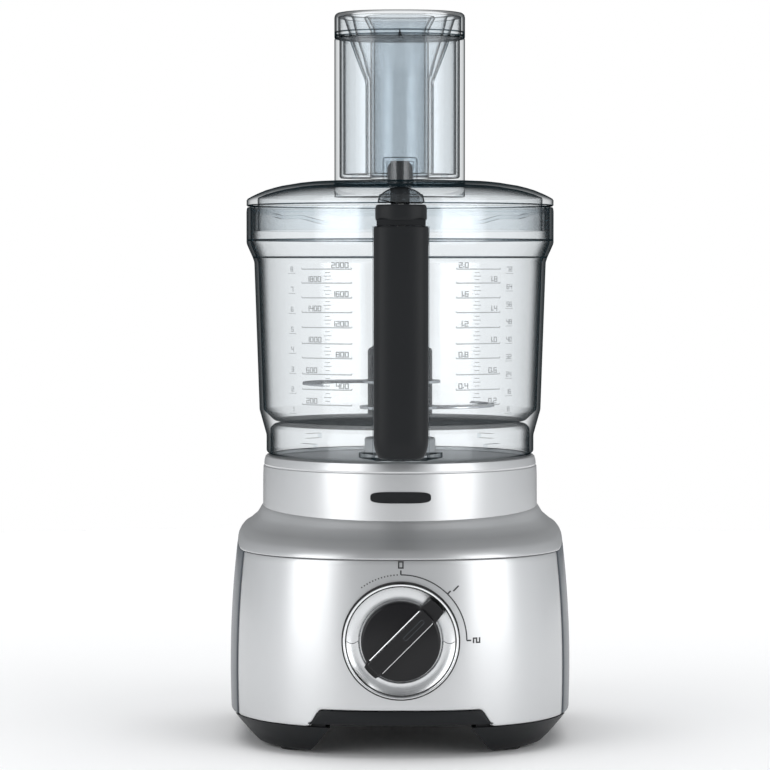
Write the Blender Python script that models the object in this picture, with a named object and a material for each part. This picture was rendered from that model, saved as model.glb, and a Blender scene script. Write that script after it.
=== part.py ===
"""Food processor: motor base, clear bowl with handle, lid with feed chute, pushers and blade set.

Metres, +Z up. The origin is the centre of the footprint on the worktop; the bowl's axis is vertical
and stands AXIS_Y behind it. Every piece is modelled about the bowl's axis and hangs from one empty.
"""

import math

import bmesh
import bpy
from mathutils import Vector

# ---- clearances and walls ----
GAP = 0.0003            # between pieces that seat on each other
SLIDE_GAP = 0.0008      # between pieces that slide
BEARING_GAP = 0.0001    # radial clearance of a shaft in its bush
WALL = 0.0025           # moulded casing
CLEAR_WALL = 0.0024     # clear bowl, lid and pushers

# ---- facets ----
LARGE = 48              # facets of the bowl, the lid and the casing
DIAL_FACETS = 48
MEDIUM = 24             # facets of shafts, pulleys and the motor
SMALL = 12              # facets of screws

# ---- motor base casing ----
BODY_HALF_WIDTH = 0.1050
BODY_FRONT = 0.1050     # depth of the casing before the bowl's axis
BODY_REAR = 0.1050      # depth of the casing behind it
BODY_SHRINK = 0.044     # share by which the casing is narrower at its shoulder
BODY_WIDE_Z = 0.045     # height of the widest place
BODY_BOTTOM_Z = 0.0183  # lower edge of the casing
SEAM_FRONT_Z = 0.1174   # top edge of the front panel
SEAM_REAR_Z = 0.1246    # top edge of the rear casing
FRONT_ROUND = 2.5       # exponent of the bowed front
REAR_ROUND = 4.5        # exponent of the squarer back
PANEL_HALF_ANGLE = math.radians(65)   # of the front panel, from straight ahead
NOTCH_HALF_WIDTH = 0.0470
NOTCH_FOOT_HALF_WIDTH = 0.0560
NOTCH_Z = 0.0287

# ---- neck ----
NECK_TOP_Z = 0.1740
NECK_TOP_RADIUS = 0.0814
NECK_RADIUS = 0.0850
NECK_CREASE_Z = 0.1430
NECK_CREASE_DROP = 0.0040   # how much lower the crease is in front
COLLAR_RADIUS = 0.0220
COLLAR_TOP_Z = 0.1840

# ---- bottom tray and feet ----
TRAY_BOTTOM_Z = 0.0195
TRAY_TOP_Z = 0.0230
POD_INNER_X = 0.0420
POD_LENGTH = 0.0660
POD_INSET = 0.0130
POD_BOTTOM_Z = 0.0010
POD_SPLAY = 0.0120      # how much further apart the pods' inner sides are at the bottom
PAD_RADIUS = 0.0075
PAD_THICKNESS = 0.0030
PAD_X = 0.0645
PAD_Y = 0.0620
SCREW_RADIUS = 0.0019
SCREW_HEAD_RADIUS = 0.0036
BASE_SCREW_LENGTH = 0.0220
BASE_SCREW_SIDE_X = 0.0960
BASE_SCREW_REAR_X = 0.0280
BASE_SCREW_REAR_Y = 0.0960
POST_HALF_WIDTH = 0.0050
POST_HEIGHT = 0.0240
VENT_COUNT = 7
VENT_PITCH = 0.0060
VENT_WIDTH = 0.0025
VENT_LENGTH = 0.0340

# ---- badge ----
BADGE_HALF_ANGLE = math.radians(12.5)
BADGE_THICKNESS = 0.0008

# ---- dial ----
DIAL_Z = 0.0700
DIAL_HOLE_RADIUS = 0.0350
BEZEL_RADIUS = DIAL_HOLE_RADIUS - 0.0010
BEZEL_FRONT = 0.0025    # how far the bezel stands before the panel
KNOB_RADIUS = 0.0235
KNOB_HEIGHT = 0.0050
BAR_WIDTH = 0.0110
BAR_HEIGHT = 0.0100
POINTER_RADIUS = 0.0310
TAIL_RADIUS = 0.0260
DIAL_REST_ANGLE = math.radians(45)
DIAL_SHAFT_RADIUS = 0.0030
DIAL_SHAFT_LENGTH = 0.0240
SWITCH_SIZE = 0.0340
SWITCH_FRONT = 0.0140   # face of the switch behind the dial's plane
SWITCH_DEPTH = 0.0180
BOARD_Y = -0.0700
BOARD_HALF_WIDTH = 0.0420
BOARD_TOP_Z = 0.1000

# ---- drive ----
MOTOR_Y = 0.0520
SHAFT_RADIUS = 0.0050
SHAFT_BOTTOM_Z = 0.0265
SHAFT_HEX_Z = 0.1930
SHAFT_TOP_Z = 0.2260
BEARING_RADIUS = SHAFT_RADIUS + 0.0039
BEARING_HEIGHT = 0.0080
TUBE_WALL = 0.0043
CHASSIS_Z = 0.0440
CHASSIS_THICKNESS = 0.0040
CHASSIS_HALF_WIDTH = 0.0620
CHASSIS_FRONT = 0.0400
CHASSIS_REAR = 0.0900
LEG_SIZE = 0.0080
BEARING_TUBE_TOP_Z = 0.1500
DRIVEN_RADIUS = 0.0400
DRIVER_RADIUS = 0.0080
BELT_THICKNESS = 0.0018
BELT_WIDTH = 0.0090
PULLEY_WIDTH = 0.0100
PULLEY_Z = 0.0275
MOTOR_SHAFT_RADIUS = 0.0040
STATOR_RADIUS = 0.0360
STATOR_BORE = 0.0220
STATOR_Z = 0.0580
STATOR_HEIGHT = 0.0420
WINDING_HEIGHT = 0.0065
WINDING_THICKNESS = 0.0045
AIR_GAP = 0.0005
COMMUTATOR_RADIUS = 0.0100
COMMUTATOR_Z = 0.1080
COMMUTATOR_HEIGHT = 0.0100
ARMATURE_TOP_Z = 0.1370
BRUSH_Z = 0.1090
BRUSH_HEIGHT = 0.0080
BRUSH_HALF_DEPTH = 0.0030
LUG_FLOOR = 0.0015
LUG_NEAR = 0.0130
LUG_FAR = 0.0265
POST_RADIUS = 0.0040
BRIDGE_Z = 0.1200
BRIDGE_THICKNESS = 0.0050
BRIDGE_HALF_DEPTH = 0.0115
MOTOR_SCREW_X = 0.0315
FAN_RADIUS = 0.0260
FAN_Z = 0.1285
FAN_HEIGHT = 0.0080
FAN_BLADES = 8
FAN_DISC = 0.0015
VANE_THICKNESS = 0.0012

# ---- bowl ----
BOWL_FOOT_RADIUS = 0.0828
BOWL_LOWER_RADIUS = 0.0871
BOWL_UPPER_RADIUS = 0.0902
BOWL_RIM_RADIUS = 0.0950
BOWL_FOOT_TOP_Z = 0.1860
BOWL_LOWER_Z = 0.2015
BOWL_UPPER_Z = 0.2926
BOWL_SHOULDER_Z = 0.3044
BOWL_TOP_Z = 0.3265
BOWL_FLOOR_Z = 0.1950   # inside
TUBE_INNER_RADIUS = 0.0140
TUBE_OUTER_RADIUS = TUBE_INNER_RADIUS + 0.0025
TUBE_TOP_Z = 0.2350

BAYONET_TABS = 4
TAB_DEPTH = 0.0040
TAB_LENGTH = 0.0120

# ---- handle ----
HANDLE_FRONT = 0.1300   # front of the grip, before the bowl's axis
GRIP_DEPTH = 0.0130
GRIP_HALF_WIDTH = 0.0160
GRIP_BOTTOM_Z = 0.1784
GRIP_TOP_Z = 0.3134
CAP_BOTTOM_Z = 0.3170
CAP_TOP_Z = 0.3260
CAP_HALF_WIDTH = 0.0150
CORE_THICKNESS = 0.0050
CORE_HALF_WIDTH = 0.0166
ARM_HEIGHT = 0.0110
ROD_RADIUS = 0.0024
GRIP_STEPS = 12
ROD_CHANNEL = 0.0042    # half width of the channel in the grip
ROD_TRAVEL = 0.0040
MAGNET_RADIUS = 0.0034
MAGNET_HEIGHT = 0.0040
MAGNET_TOP_Z = 0.1860
COLLAR_Z = 0.2990       # the rod's collar, which the spring lifts
SPRING_BOTTOM_Z = 0.2700
SPRING_RADIUS = 0.0032
SPRING_WIRE_RADIUS = 0.0004
SPRING_TURNS = 7
SPRING_STEPS = 10
HANDLE_SCREW_X = 0.0100
HANDLE_SCREW_Z = 0.2050

# ---- lid ----
LID_RADIUS = BOWL_RIM_RADIUS - 0.0001
LID_RIM_TOP_Z = 0.3315
LID_TOP_Z = 0.3422
LID_FLAT_RADIUS = 0.0560
SKIRT_RADIUS = BOWL_RIM_RADIUS - 0.0045
SKIRT_BOTTOM_Z = 0.3120
SEAL_HEIGHT = 0.0030
TAB_HALF_WIDTH = 0.0130
TAB_REACH = 0.1265
TAB_TOP_Z = 0.3320
TAB_RAMP = 0.0022
BOSS_RADIUS = 0.0108
BOSS_TOP_Z = 0.3575
CHUTE_HALF_WIDTH = 0.0414
CHUTE_HALF_DEPTH = 0.0360
CHUTE_Y = 0.0490
CHUTE_TOP_Z = 0.4343
CHUTE_ROUND = 2.5

# ---- pushers ----
PUSHER_BOTTOM_Z = 0.3460
CAP_RING_TOP_Z = 0.4500
FEED_RADIUS = 0.0189    # small feed tube inside the large pusher
FUNNEL_BOTTOM_Z = 0.4070
FUNNEL_TOP_HALF_WIDTH = 0.0300
FUNNEL_TOP_HALF_DEPTH = 0.0260
PLUG_WALL = 0.0020
PLUG_FLARE_RADIUS = 0.0225
PLUG_TOP_Z = 0.4480
VENT_RADIUS = 0.0020

# ---- blade set ----
SPINDLE_RADIUS = TUBE_INNER_RADIUS - 0.0017
SPINDLE_HEX_RADIUS = 0.0092
SPINDLE_STEM_RADIUS = 0.0060
SPINDLE_TIP_RADIUS = 0.0078
SPINDLE_TIP_Z = 0.3550
HUB_RADIUS = TUBE_OUTER_RADIUS + 0.0035
HUB_BOTTOM_Z = 0.1980
HUB_SHOULDER_Z = 0.2400
HUB_NECK_RADIUS = 0.0125
HUB_TOP_Z = 0.2830
HUB_CAP_HEIGHT = 0.0050
BLADE_THICKNESS = 0.0016
BLADE_REACH = 0.0800
BLADE_HALF_WIDTH = 0.0110
BLADE_SWEEP = math.radians(55)
BLADE_STEPS = 10
LOWER_BLADE_Z = 0.2020
UPPER_BLADE_Z = 0.2180

# ---- cord inlet ----
GLAND_X = 0.0450
GLAND_Z = 0.0450
GLAND_REACH = 0.0070    # how far it stands behind the casing
GLAND_RADIUS = 0.0065
CORD_RADIUS = 0.0034

ROD_Y = -(HANDLE_FRONT - GRIP_DEPTH + ROD_CHANNEL)
AXIS_Y = (HANDLE_FRONT - BODY_REAR - GLAND_REACH) / 2
SHARP_ANGLE = math.radians(32)
WHOLE_TURN = 2 * math.pi


# ---- the scene ----
for old in list(bpy.data.objects):
    bpy.data.objects.remove(old)


def empty(name, parent=None, location=(0, 0, 0)):
    """An empty that pieces hang from."""
    made = bpy.data.objects.new(name, None)
    bpy.context.scene.collection.objects.link(made)
    made.parent = parent
    made.location = location
    return made


APPLIANCE = empty("appliance", location=(0, AXIS_Y, 0))


def finish(name, colour, roughness, metallic=0.0, alpha=1.0):
    """A Principled material."""
    made = bpy.data.materials.new(name)
    made.use_nodes = True
    shader = made.node_tree.nodes["Principled BSDF"]
    shader.inputs["Base Color"].default_value = (*colour, 1)
    shader.inputs["Roughness"].default_value = roughness
    shader.inputs["Metallic"].default_value = metallic
    shader.inputs["Alpha"].default_value = alpha
    made.diffuse_color = (*colour, alpha)
    return made


FINISHES = {
    "silver": ((0.62, 0.63, 0.64), 0.30, 0.6, 1.0),
    "slate": ((0.11, 0.12, 0.13), 0.40, 0.0, 1.0),
    "charcoal": ((0.035, 0.037, 0.036), 0.50, 0.0, 1.0),
    "black": ((0.012, 0.012, 0.013), 0.35, 0.0, 1.0),
    "rubber": ((0.02, 0.02, 0.02), 0.85, 0.0, 1.0),
    "clear": ((0.80, 0.86, 0.90), 0.08, 0.0, 0.3),
    "satin_silver": ((0.70, 0.71, 0.72), 0.25, 1.0, 1.0),
    "steel": ((0.55, 0.56, 0.58), 0.25, 1.0, 1.0),
    "aluminium": ((0.60, 0.61, 0.62), 0.45, 1.0, 1.0),
    "nylon": ((0.75, 0.74, 0.70), 0.50, 0.0, 1.0),
    "copper": ((0.60, 0.27, 0.12), 0.35, 1.0, 1.0),
    "laminations": ((0.20, 0.20, 0.21), 0.55, 0.8, 1.0),
    "carbon": ((0.03, 0.03, 0.03), 0.70, 0.0, 1.0),
    "board": ((0.03, 0.16, 0.08), 0.50, 0.0, 1.0),
}


# ---- outlines ----
def oval(half_width, front, rear, front_round=2.0, rear_round=None, count=LARGE):
    """Points of a superellipse, anticlockwise from +X; its front is the -Y half."""
    rear_round = rear_round or front_round
    points = []
    for i in range(count):
        points.append(oval_point(half_width, front, rear, front_round, rear_round, WHOLE_TURN * i / count))
    return points


def oval_point(half_width, front, rear, front_round, rear_round, angle):
    """The point of such a superellipse in the direction at an angle from +X."""
    c, s = math.cos(angle), math.sin(angle)
    power = rear_round if s > 0 else front_round
    reach = abs(c / half_width) ** power + abs(s / (rear if s > 0 else front)) ** power
    return (c * reach ** (-1 / power), s * reach ** (-1 / power))


def circle(radius, count):
    """Points of a circle, anticlockwise from +X."""
    return oval(radius, radius, radius, count=count)


def at_height(points, z):
    """Plan points at one height."""
    return [(x, y, z) for x, y in points]


def smooth(t):
    """0 to 1 with level ends."""
    t = min(max(t, 0.0), 1.0)
    return t * t * (3 - 2 * t)


def swell(z):
    """The casing's size at a height, as a share of its largest."""
    return 1 - BODY_SHRINK * ((z - BODY_WIDE_Z) / (SEAM_FRONT_Z + 0.005 - BODY_WIDE_Z)) ** 2


def body_point(angle, z, inset=0.0):
    """The casing's outline at a height and an angle."""
    k = swell(z)
    return oval_point(
        BODY_HALF_WIDTH * k - inset, BODY_FRONT * k - inset, BODY_REAR * k - inset,
        FRONT_ROUND, REAR_ROUND, angle,
    )


def seam_height(angle):
    """The height of the joint between the lower casing and the neck."""
    edge = -math.cos(PANEL_HALF_ANGLE)
    rise = smooth(1 - math.sin(angle) / edge) if math.sin(angle) < 0 else 1.0
    return SEAM_FRONT_Z + (SEAM_REAR_Z - SEAM_FRONT_Z) * rise


# ---- building blocks ----
def piece(name, bm):
    """An object from a bmesh, smooth shaded with sharp edges, hung from the appliance."""
    bmesh.ops.recalc_face_normals(bm, faces=bm.faces)
    bmesh.ops.triangulate(bm, faces=bm.faces[:])
    mesh = bpy.data.meshes.new(name)
    bm.to_mesh(mesh)
    bm.free()
    mesh.shade_smooth()
    mesh.set_sharp_from_angle(angle=SHARP_ANGLE)
    made = bpy.data.objects.new(name, mesh)
    bpy.context.scene.collection.objects.link(made)
    made.parent = APPLIANCE
    return made


def loft(name, rings, closed=False):
    """A body through rings of points: capped at both ends, or joined end to end."""
    bm = bmesh.new()
    loops = [[bm.verts.new(point) for point in ring] for ring in rings]
    pairs = list(zip(loops, loops[1:]))
    if closed:
        pairs.append((loops[-1], loops[0]))
    else:
        bm.faces.new(reversed(loops[0]))
        bm.faces.new(loops[-1])
    for low, high in pairs:
        for i in range(len(low)):
            j = (i + 1) % len(low)
            bm.faces.new((low[i], low[j], high[j], high[i]))
    return piece(name, bm)


def turned(name, profile, count=MEDIUM, closed=False):
    """A body turned about +Z: a profile of (radius, height) from bottom to top, or round a closed section."""
    return loft(name, [at_height(circle(r, count), z) for r, z in profile], closed)


def ring(name, inner, outer, low, high, count=MEDIUM):
    """A plain bush."""
    return turned(name, [(outer, low), (outer, high), (inner, high), (inner, low)], count, True)


def block(name, low, high):
    """A box between two corners."""
    outline = [(low[0], low[1]), (high[0], low[1]), (high[0], high[1]), (low[0], high[1])]
    return loft(name, [at_height(outline, low[2]), at_height(outline, high[2])])


def prism(name, outline, low, high):
    """An outline in plan, between two heights."""
    return loft(name, [at_height(outline, low), at_height(outline, high)])


def boolean(target, tool, operation):
    """Joins a shape to a body or cuts it out; the shape itself is only a guide that moves with the body."""
    tool.hide_render = True
    tool.display_type = "WIRE"
    if tool.parent == target.parent:
        tool.parent = target
        tool.matrix_parent_inverse = target.matrix_basis.inverted()
    change = target.modifiers.new(tool.name, "BOOLEAN")
    change.operation = operation
    change.object = tool
    return target


def cut(target, tool):
    return boolean(target, tool, "DIFFERENCE")


def join(target, tool):
    return boolean(target, tool, "UNION")


def dress(made, look, group=None, location=None, rotation=None):
    """Gives a piece its material, the group it moves with and its place."""
    if look not in bpy.data.materials:
        finish(look, *FINISHES[look])
    made.data.materials.append(bpy.data.materials[look])
    return place(made, group, location, rotation)


def place(made, group=None, location=None, rotation=None):
    """Puts a piece or a guide in its group and at its place."""
    made.parent = group or made.parent
    made.location = location or made.location
    made.rotation_euler = rotation or made.rotation_euler
    return made


FACING_FRONT = (math.pi / 2, 0, 0)    # turns a piece's +Z to the front
FACING_REAR = (-math.pi / 2, 0, 0)    # turns a piece's +Z to the back


# ---- motor base casing ----
NECK_FLARE = ((0.0, 0.0), (0.09, 0.10), (0.24, 0.30), (0.82, 0.70), (0.97, 0.90), (1.0, 1.0))
CASING_LEVELS = (0.0, 0.25, 0.5, 0.75, 1.0)
PANEL_STEPS = 24
REAR_STEPS = 40
NOTCH_STEPS = 6
POD_STEPS = 8


def neck_ring(spread, drop, inset=0.0):
    """A ring between the round neck and the casing's outline: how far out, and how far down."""
    points = []
    for i in range(LARGE):
        angle = WHOLE_TURN * i / LARGE
        low = seam_height(angle) + GAP
        crease = NECK_CREASE_Z - NECK_CREASE_DROP * max(-math.sin(angle), 0)
        neck = Vector((math.cos(angle), math.sin(angle))) * (NECK_RADIUS - inset)
        body = Vector(body_point(angle, low, inset))
        point = neck.lerp(body, spread)
        points.append((point.x, point.y, crease + (low - crease) * drop))
    return points


def top_housing():
    """Silver neck and shoulder, open below, with the deck that the bowl stands on."""
    outer = [neck_ring(spread, drop) for spread, drop in reversed(NECK_FLARE)]
    inner = [neck_ring(spread, drop, WALL) for spread, drop in NECK_FLARE]
    lip = [(NECK_RADIUS - 0.0004, NECK_TOP_Z - 0.0066), (NECK_RADIUS - 0.0014, NECK_TOP_Z - 0.0025),
           (NECK_TOP_RADIUS, NECK_TOP_Z), (COLLAR_RADIUS, NECK_TOP_Z), (COLLAR_RADIUS, COLLAR_TOP_Z)]
    bore = BEARING_RADIUS + GAP
    under = [(bore, COLLAR_TOP_Z), (bore, NECK_TOP_Z - WALL),
             (NECK_RADIUS - WALL, NECK_TOP_Z - 2 * WALL)]
    deck = [at_height(circle(r, LARGE), z) for r, z in lip + under]
    return loft("top_housing", outer + deck + inner, closed=True)


def casing_rings(start, end, steps, top):
    """Sections of a strip of the lower casing between two angles, from its lower edge to its top."""
    rings = []
    for level in CASING_LEVELS:
        outside, inside = [], []
        for i in range(steps + 1):
            angle = start + (end - start) * i / steps
            z = BODY_BOTTOM_Z + level * (top(angle) - BODY_BOTTOM_Z)
            outside.append((*body_point(angle, z), z))
            inside.append((*body_point(angle, z, WALL), z))
        rings.append(outside + inside[::-1])
    return rings


def notch_outline(shrink=0.0):
    """The raised middle of the front panel's lower edge, as width and height."""
    low = BODY_BOTTOM_Z - 2 * WALL
    side = []
    for i in range(NOTCH_STEPS + 1):
        t = i / NOTCH_STEPS
        x = NOTCH_FOOT_HALF_WIDTH + (NOTCH_HALF_WIDTH - NOTCH_FOOT_HALF_WIDTH) * t
        z = BODY_BOTTOM_Z - WALL + (NOTCH_Z - BODY_BOTTOM_Z + WALL) * smooth(t)
        side.append((x - shrink, z - shrink))
    right = [(NOTCH_FOOT_HALF_WIDTH - shrink, low)] + side
    return right + [(-x, z) for x, z in reversed(right)]


def front_fascia():
    """Silver bowed panel with the dial's hole and the raised lower edge."""
    rings = casing_rings(
        -math.pi / 2 - PANEL_HALF_ANGLE, -math.pi / 2 + PANEL_HALF_ANGLE, PANEL_STEPS,
        lambda angle: SEAM_FRONT_Z,
    )
    made = loft("front_fascia", rings)
    hole = turned("dial_hole", [(DIAL_HOLE_RADIUS, -0.03), (DIAL_HOLE_RADIUS, 0.03)], DIAL_FACETS)
    cut(made, place(hole, DIAL_AXIS, rotation=FACING_FRONT))
    notch = prism("panel_notch", notch_outline(), BODY_FRONT / 2, BODY_FRONT * 1.2)
    return cut(made, place(notch, rotation=FACING_FRONT))


def rear_housing():
    """Slate casing round the sides and the back, with screw posts and the cord's hole."""
    edge = GAP / BODY_HALF_WIDTH
    rings = casing_rings(
        -math.pi / 2 + PANEL_HALF_ANGLE + edge, 3 * math.pi / 2 - PANEL_HALF_ANGLE - edge,
        REAR_STEPS, seam_height,
    )
    made = loft("rear_housing", rings)
    for x, y in base_screw_places():
        join(made, screw_post(x, y))
    for x, y in base_screw_places():
        radius = SCREW_RADIUS + GAP
        bore = turned("post_bore", [(radius, 0), (radius, TRAY_BOTTOM_Z + BASE_SCREW_LENGTH + WALL)], SMALL)
        cut(made, place(bore, location=(x, y, 0)))
    hole = turned("cord_hole", [(GLAND_RADIUS + GAP, -0.02), (GLAND_RADIUS + GAP, 0.02)])
    return cut(made, place(hole, location=(GLAND_X, BODY_REAR, GLAND_Z), rotation=FACING_REAR))


def screw_post(x, y):
    """A post from the inside of the casing round one screw."""
    wall_middle = swell(TRAY_TOP_Z) * BODY_HALF_WIDTH - WALL / 2
    if y == 0:
        sides = sorted((x - math.copysign(POST_HALF_WIDTH, x), math.copysign(wall_middle, x)))
        low, high = (sides[0], -POST_HALF_WIDTH), (sides[1], POST_HALF_WIDTH)
    else:
        low = (x - POST_HALF_WIDTH, y - POST_HALF_WIDTH)
        high = (x + POST_HALF_WIDTH, swell(TRAY_TOP_Z) * BODY_REAR - WALL / 2)
    return block("screw_post", (*low, TRAY_TOP_Z + GAP), (*high, TRAY_TOP_Z + POST_HEIGHT))


def base_screw_places():
    """Where the tray's screws stand in plan."""
    return [(BASE_SCREW_SIDE_X, 0), (-BASE_SCREW_SIDE_X, 0),
            (BASE_SCREW_REAR_X, BASE_SCREW_REAR_Y), (-BASE_SCREW_REAR_X, BASE_SCREW_REAR_Y)]


def pod_outline(side, end, inset, x_min, y_min):
    """The plan of a foot pod: the casing's outline at a corner, closed by two inner sides."""
    k = swell(BODY_BOTTOM_Z)
    power = FRONT_ROUND if end < 0 else REAR_ROUND
    half_width = BODY_HALF_WIDTH * k - inset
    half_depth = (BODY_FRONT if end < 0 else BODY_REAR) * k - inset
    start = math.atan2(half_depth * (1 - (x_min / half_width) ** power) ** (1 / power), x_min)
    stop = math.atan2(y_min, half_width * (1 - (y_min / half_depth) ** power) ** (1 / power))
    points = [(x_min, y_min)]
    for i in range(POD_STEPS + 1):
        angle = stop + (start - stop) * i / POD_STEPS
        points.append(oval_point(half_width, half_depth, half_depth, power, power, angle))
    return [(side * x, end * y) for x, y in points]


def base_plate():
    """Charcoal bottom tray with the front lip, four foot pods, vents and screw holes."""
    inset = WALL + 2 * GAP
    outline = [body_point(WHOLE_TURN * i / LARGE, BODY_BOTTOM_Z, inset) for i in range(LARGE)]
    made = prism("base_plate", outline, TRAY_BOTTOM_Z, TRAY_TOP_Z)
    lip = prism("front_lip", notch_outline(GAP), BODY_FRONT * 0.86, BODY_FRONT * 1.2)
    place(lip, rotation=FACING_FRONT)
    casing = [at_height([body_point(WHOLE_TURN * i / LARGE, z, GAP) for i in range(LARGE)], z)
              for z in (TRAY_BOTTOM_Z - 2 * GAP, NOTCH_Z + WALL)]
    boolean(lip, loft("lip_limit", casing), "INTERSECT")
    join(made, lip)
    for side in (1, -1):
        for end in (1, -1):
            join(made, foot_pod(side, end))
            radius = PAD_RADIUS + GAP
            pocket = turned("pad_pocket", [(radius, -PAD_THICKNESS), (radius, PAD_THICKNESS + GAP)])
            cut(made, place(pocket, location=(side * PAD_X, end * PAD_Y, 0)))
    for x, y in base_screw_places():
        wide, narrow = SCREW_HEAD_RADIUS + 2 * GAP, SCREW_RADIUS + GAP
        seat = TRAY_BOTTOM_Z + SCREW_HEAD_RADIUS / 2
        bore = turned("tray_bore", [(wide, 0), (wide, seat), (narrow, seat), (narrow, 2 * TRAY_TOP_Z)], SMALL)
        cut(made, place(bore, location=(x, y, 0)))
    for i in range(VENT_COUNT):
        x = (i - (VENT_COUNT - 1) / 2) * VENT_PITCH
        low = (x - VENT_WIDTH / 2, -VENT_LENGTH / 2, 0)
        cut(made, block("vent", low, (x + VENT_WIDTH / 2, VENT_LENGTH / 2, 2 * TRAY_TOP_Z)))
    return made


def foot_pod(side, end):
    """A splayed foot under one corner, let into the tray."""
    bottom = pod_outline(side, end, POD_INSET, POD_INNER_X + POD_SPLAY, BODY_FRONT - POD_LENGTH + POD_SPLAY)
    top = pod_outline(side, end, GAP, POD_INNER_X, BODY_FRONT - POD_LENGTH)
    root = pod_outline(side, end, WALL + 3 * GAP, POD_INNER_X + WALL, BODY_FRONT - POD_LENGTH + WALL)
    rings = [at_height(bottom, POD_BOTTOM_Z), at_height(top, BODY_BOTTOM_Z - GAP),
             at_height(root, BODY_BOTTOM_Z - GAP), at_height(root, TRAY_BOTTOM_Z + WALL / 2)]
    return loft("foot_pod", rings)


def screw(name, shank, head_radius=SCREW_HEAD_RADIUS, radius=SCREW_RADIUS):
    """A pan head screw: its head's face at 0 and its shank up +Z."""
    head = head_radius * 0.5
    return turned(name, [(head_radius * 0.8, 0), (head_radius, head * 0.5), (head_radius, head),
                         (radius, head), (radius, head + shank)], SMALL)


def foot_pad(name, side, end):
    """A rubber pad in its pocket."""
    made = turned(name, [(PAD_RADIUS - GAP, 0), (PAD_RADIUS, 2 * GAP), (PAD_RADIUS, PAD_THICKNESS)])
    return place(made, location=(side * PAD_X, end * PAD_Y, 0))


def badge():
    """A blank curved lozenge on the neck."""
    rings = []
    for z, share in ((0.1495, 0.8), (0.1510, 0.97), (0.1550, 0.97), (0.1565, 0.8)):
        outside, inside = [], []
        for i in range(9):
            angle = -math.pi / 2 + BADGE_HALF_ANGLE * share * (i / 4 - 1)
            back = NECK_RADIUS + 3 * GAP
            for radius, arc in ((back + BADGE_THICKNESS, outside), (back, inside)):
                arc.append((radius * math.cos(angle), radius * math.sin(angle), z))
        rings.append(outside + inside[::-1])
    return loft("badge", rings)


def cord_gland():
    """A tapered rubber inlet in the back of the casing, with the cord's bore through it."""
    flange = GLAND_RADIUS + 0.0020
    profile = [(GLAND_RADIUS, -0.009), (GLAND_RADIUS, GAP), (flange, GAP), (flange, 0.002),
               (GLAND_RADIUS - 0.0005, 0.0025), (GLAND_RADIUS - 0.0015, GLAND_REACH),
               (CORD_RADIUS, GLAND_REACH), (CORD_RADIUS, -0.009)]
    made = turned("cord_gland", profile, closed=True)
    return place(made, location=(GLAND_X, BODY_REAR, GLAND_Z), rotation=FACING_REAR)


# ---- speed dial, about its own axis facing the front ----
def dial_bezel():
    """A dished ring let into the front panel, held by a flange behind it."""
    rim = BEZEL_RADIUS
    profile = [
        (DIAL_HOLE_RADIUS + 0.003, -0.0086), (DIAL_HOLE_RADIUS + 0.003, -0.0070), (rim, -0.0070),
        (rim, BEZEL_FRONT - 0.0007), (rim - 0.0006, BEZEL_FRONT), (rim - 0.0014, BEZEL_FRONT),
        (rim - 0.0020, BEZEL_FRONT - 0.0010), (rim - 0.0060, 0.0006), (KNOB_RADIUS + SLIDE_GAP, 0.0006),
        (KNOB_RADIUS + SLIDE_GAP, -0.0015), (DIAL_SHAFT_RADIUS + GAP, -0.0015),
        (DIAL_SHAFT_RADIUS + GAP, -0.0040), (rim - 0.0040, -0.0040), (rim - 0.0040, -0.0086),
    ]
    return turned("dial_bezel", profile, DIAL_FACETS, closed=True)


def dial_knob():
    """A flat knob with a raised finger bar, a pointer that reaches over the bezel and a short tail."""
    made = turned("dial_knob", [(KNOB_RADIUS, -0.0011), (KNOB_RADIUS, KNOB_HEIGHT - 0.001),
                                (KNOB_RADIUS - 0.001, KNOB_HEIGHT)], DIAL_FACETS)
    half = BAR_WIDTH / 2
    tip = BEZEL_FRONT + GAP
    reach, root = KNOB_RADIUS - 3 * GAP, KNOB_RADIUS * 0.8
    join(made, block("bar", (-half, -reach, KNOB_HEIGHT / 2), (half, reach, BAR_HEIGHT)))
    pointer = [(-half * 1.4, root), (half * 1.4, root), (half, POINTER_RADIUS), (-half, POINTER_RADIUS)]
    join(made, prism("pointer", pointer, tip, KNOB_HEIGHT - GAP))
    tail = [(-half, -TAIL_RADIUS), (half, -TAIL_RADIUS), (half * 1.2, -root), (-half * 1.2, -root)]
    join(made, prism("tail", tail, tip, KNOB_HEIGHT - GAP))
    radius = DIAL_SHAFT_RADIUS + GAP
    return cut(made, turned("knob_bore", [(radius, -0.01), (radius, KNOB_HEIGHT / 2)]))


def dial_shaft():
    """The switch's shaft."""
    profile = [(DIAL_SHAFT_RADIUS, -DIAL_SHAFT_LENGTH), (DIAL_SHAFT_RADIUS, KNOB_HEIGHT / 2 - GAP)]
    return turned("dial_shaft", profile)


def speed_switch():
    """The rotary switch body behind the dial."""
    half = SWITCH_SIZE / 2
    made = block("speed_switch", (-half, -half, -SWITCH_FRONT - SWITCH_DEPTH), (half, half, -SWITCH_FRONT))
    nose = turned("switch_nose", [(0.0065, -SWITCH_FRONT - 0.002), (0.0065, -SWITCH_FRONT + 0.003)])
    join(made, nose)
    radius = DIAL_SHAFT_RADIUS + GAP
    bore = turned("switch_bore", [(radius, -DIAL_SHAFT_LENGTH - GAP), (radius, 0)])
    return cut(made, bore)


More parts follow.
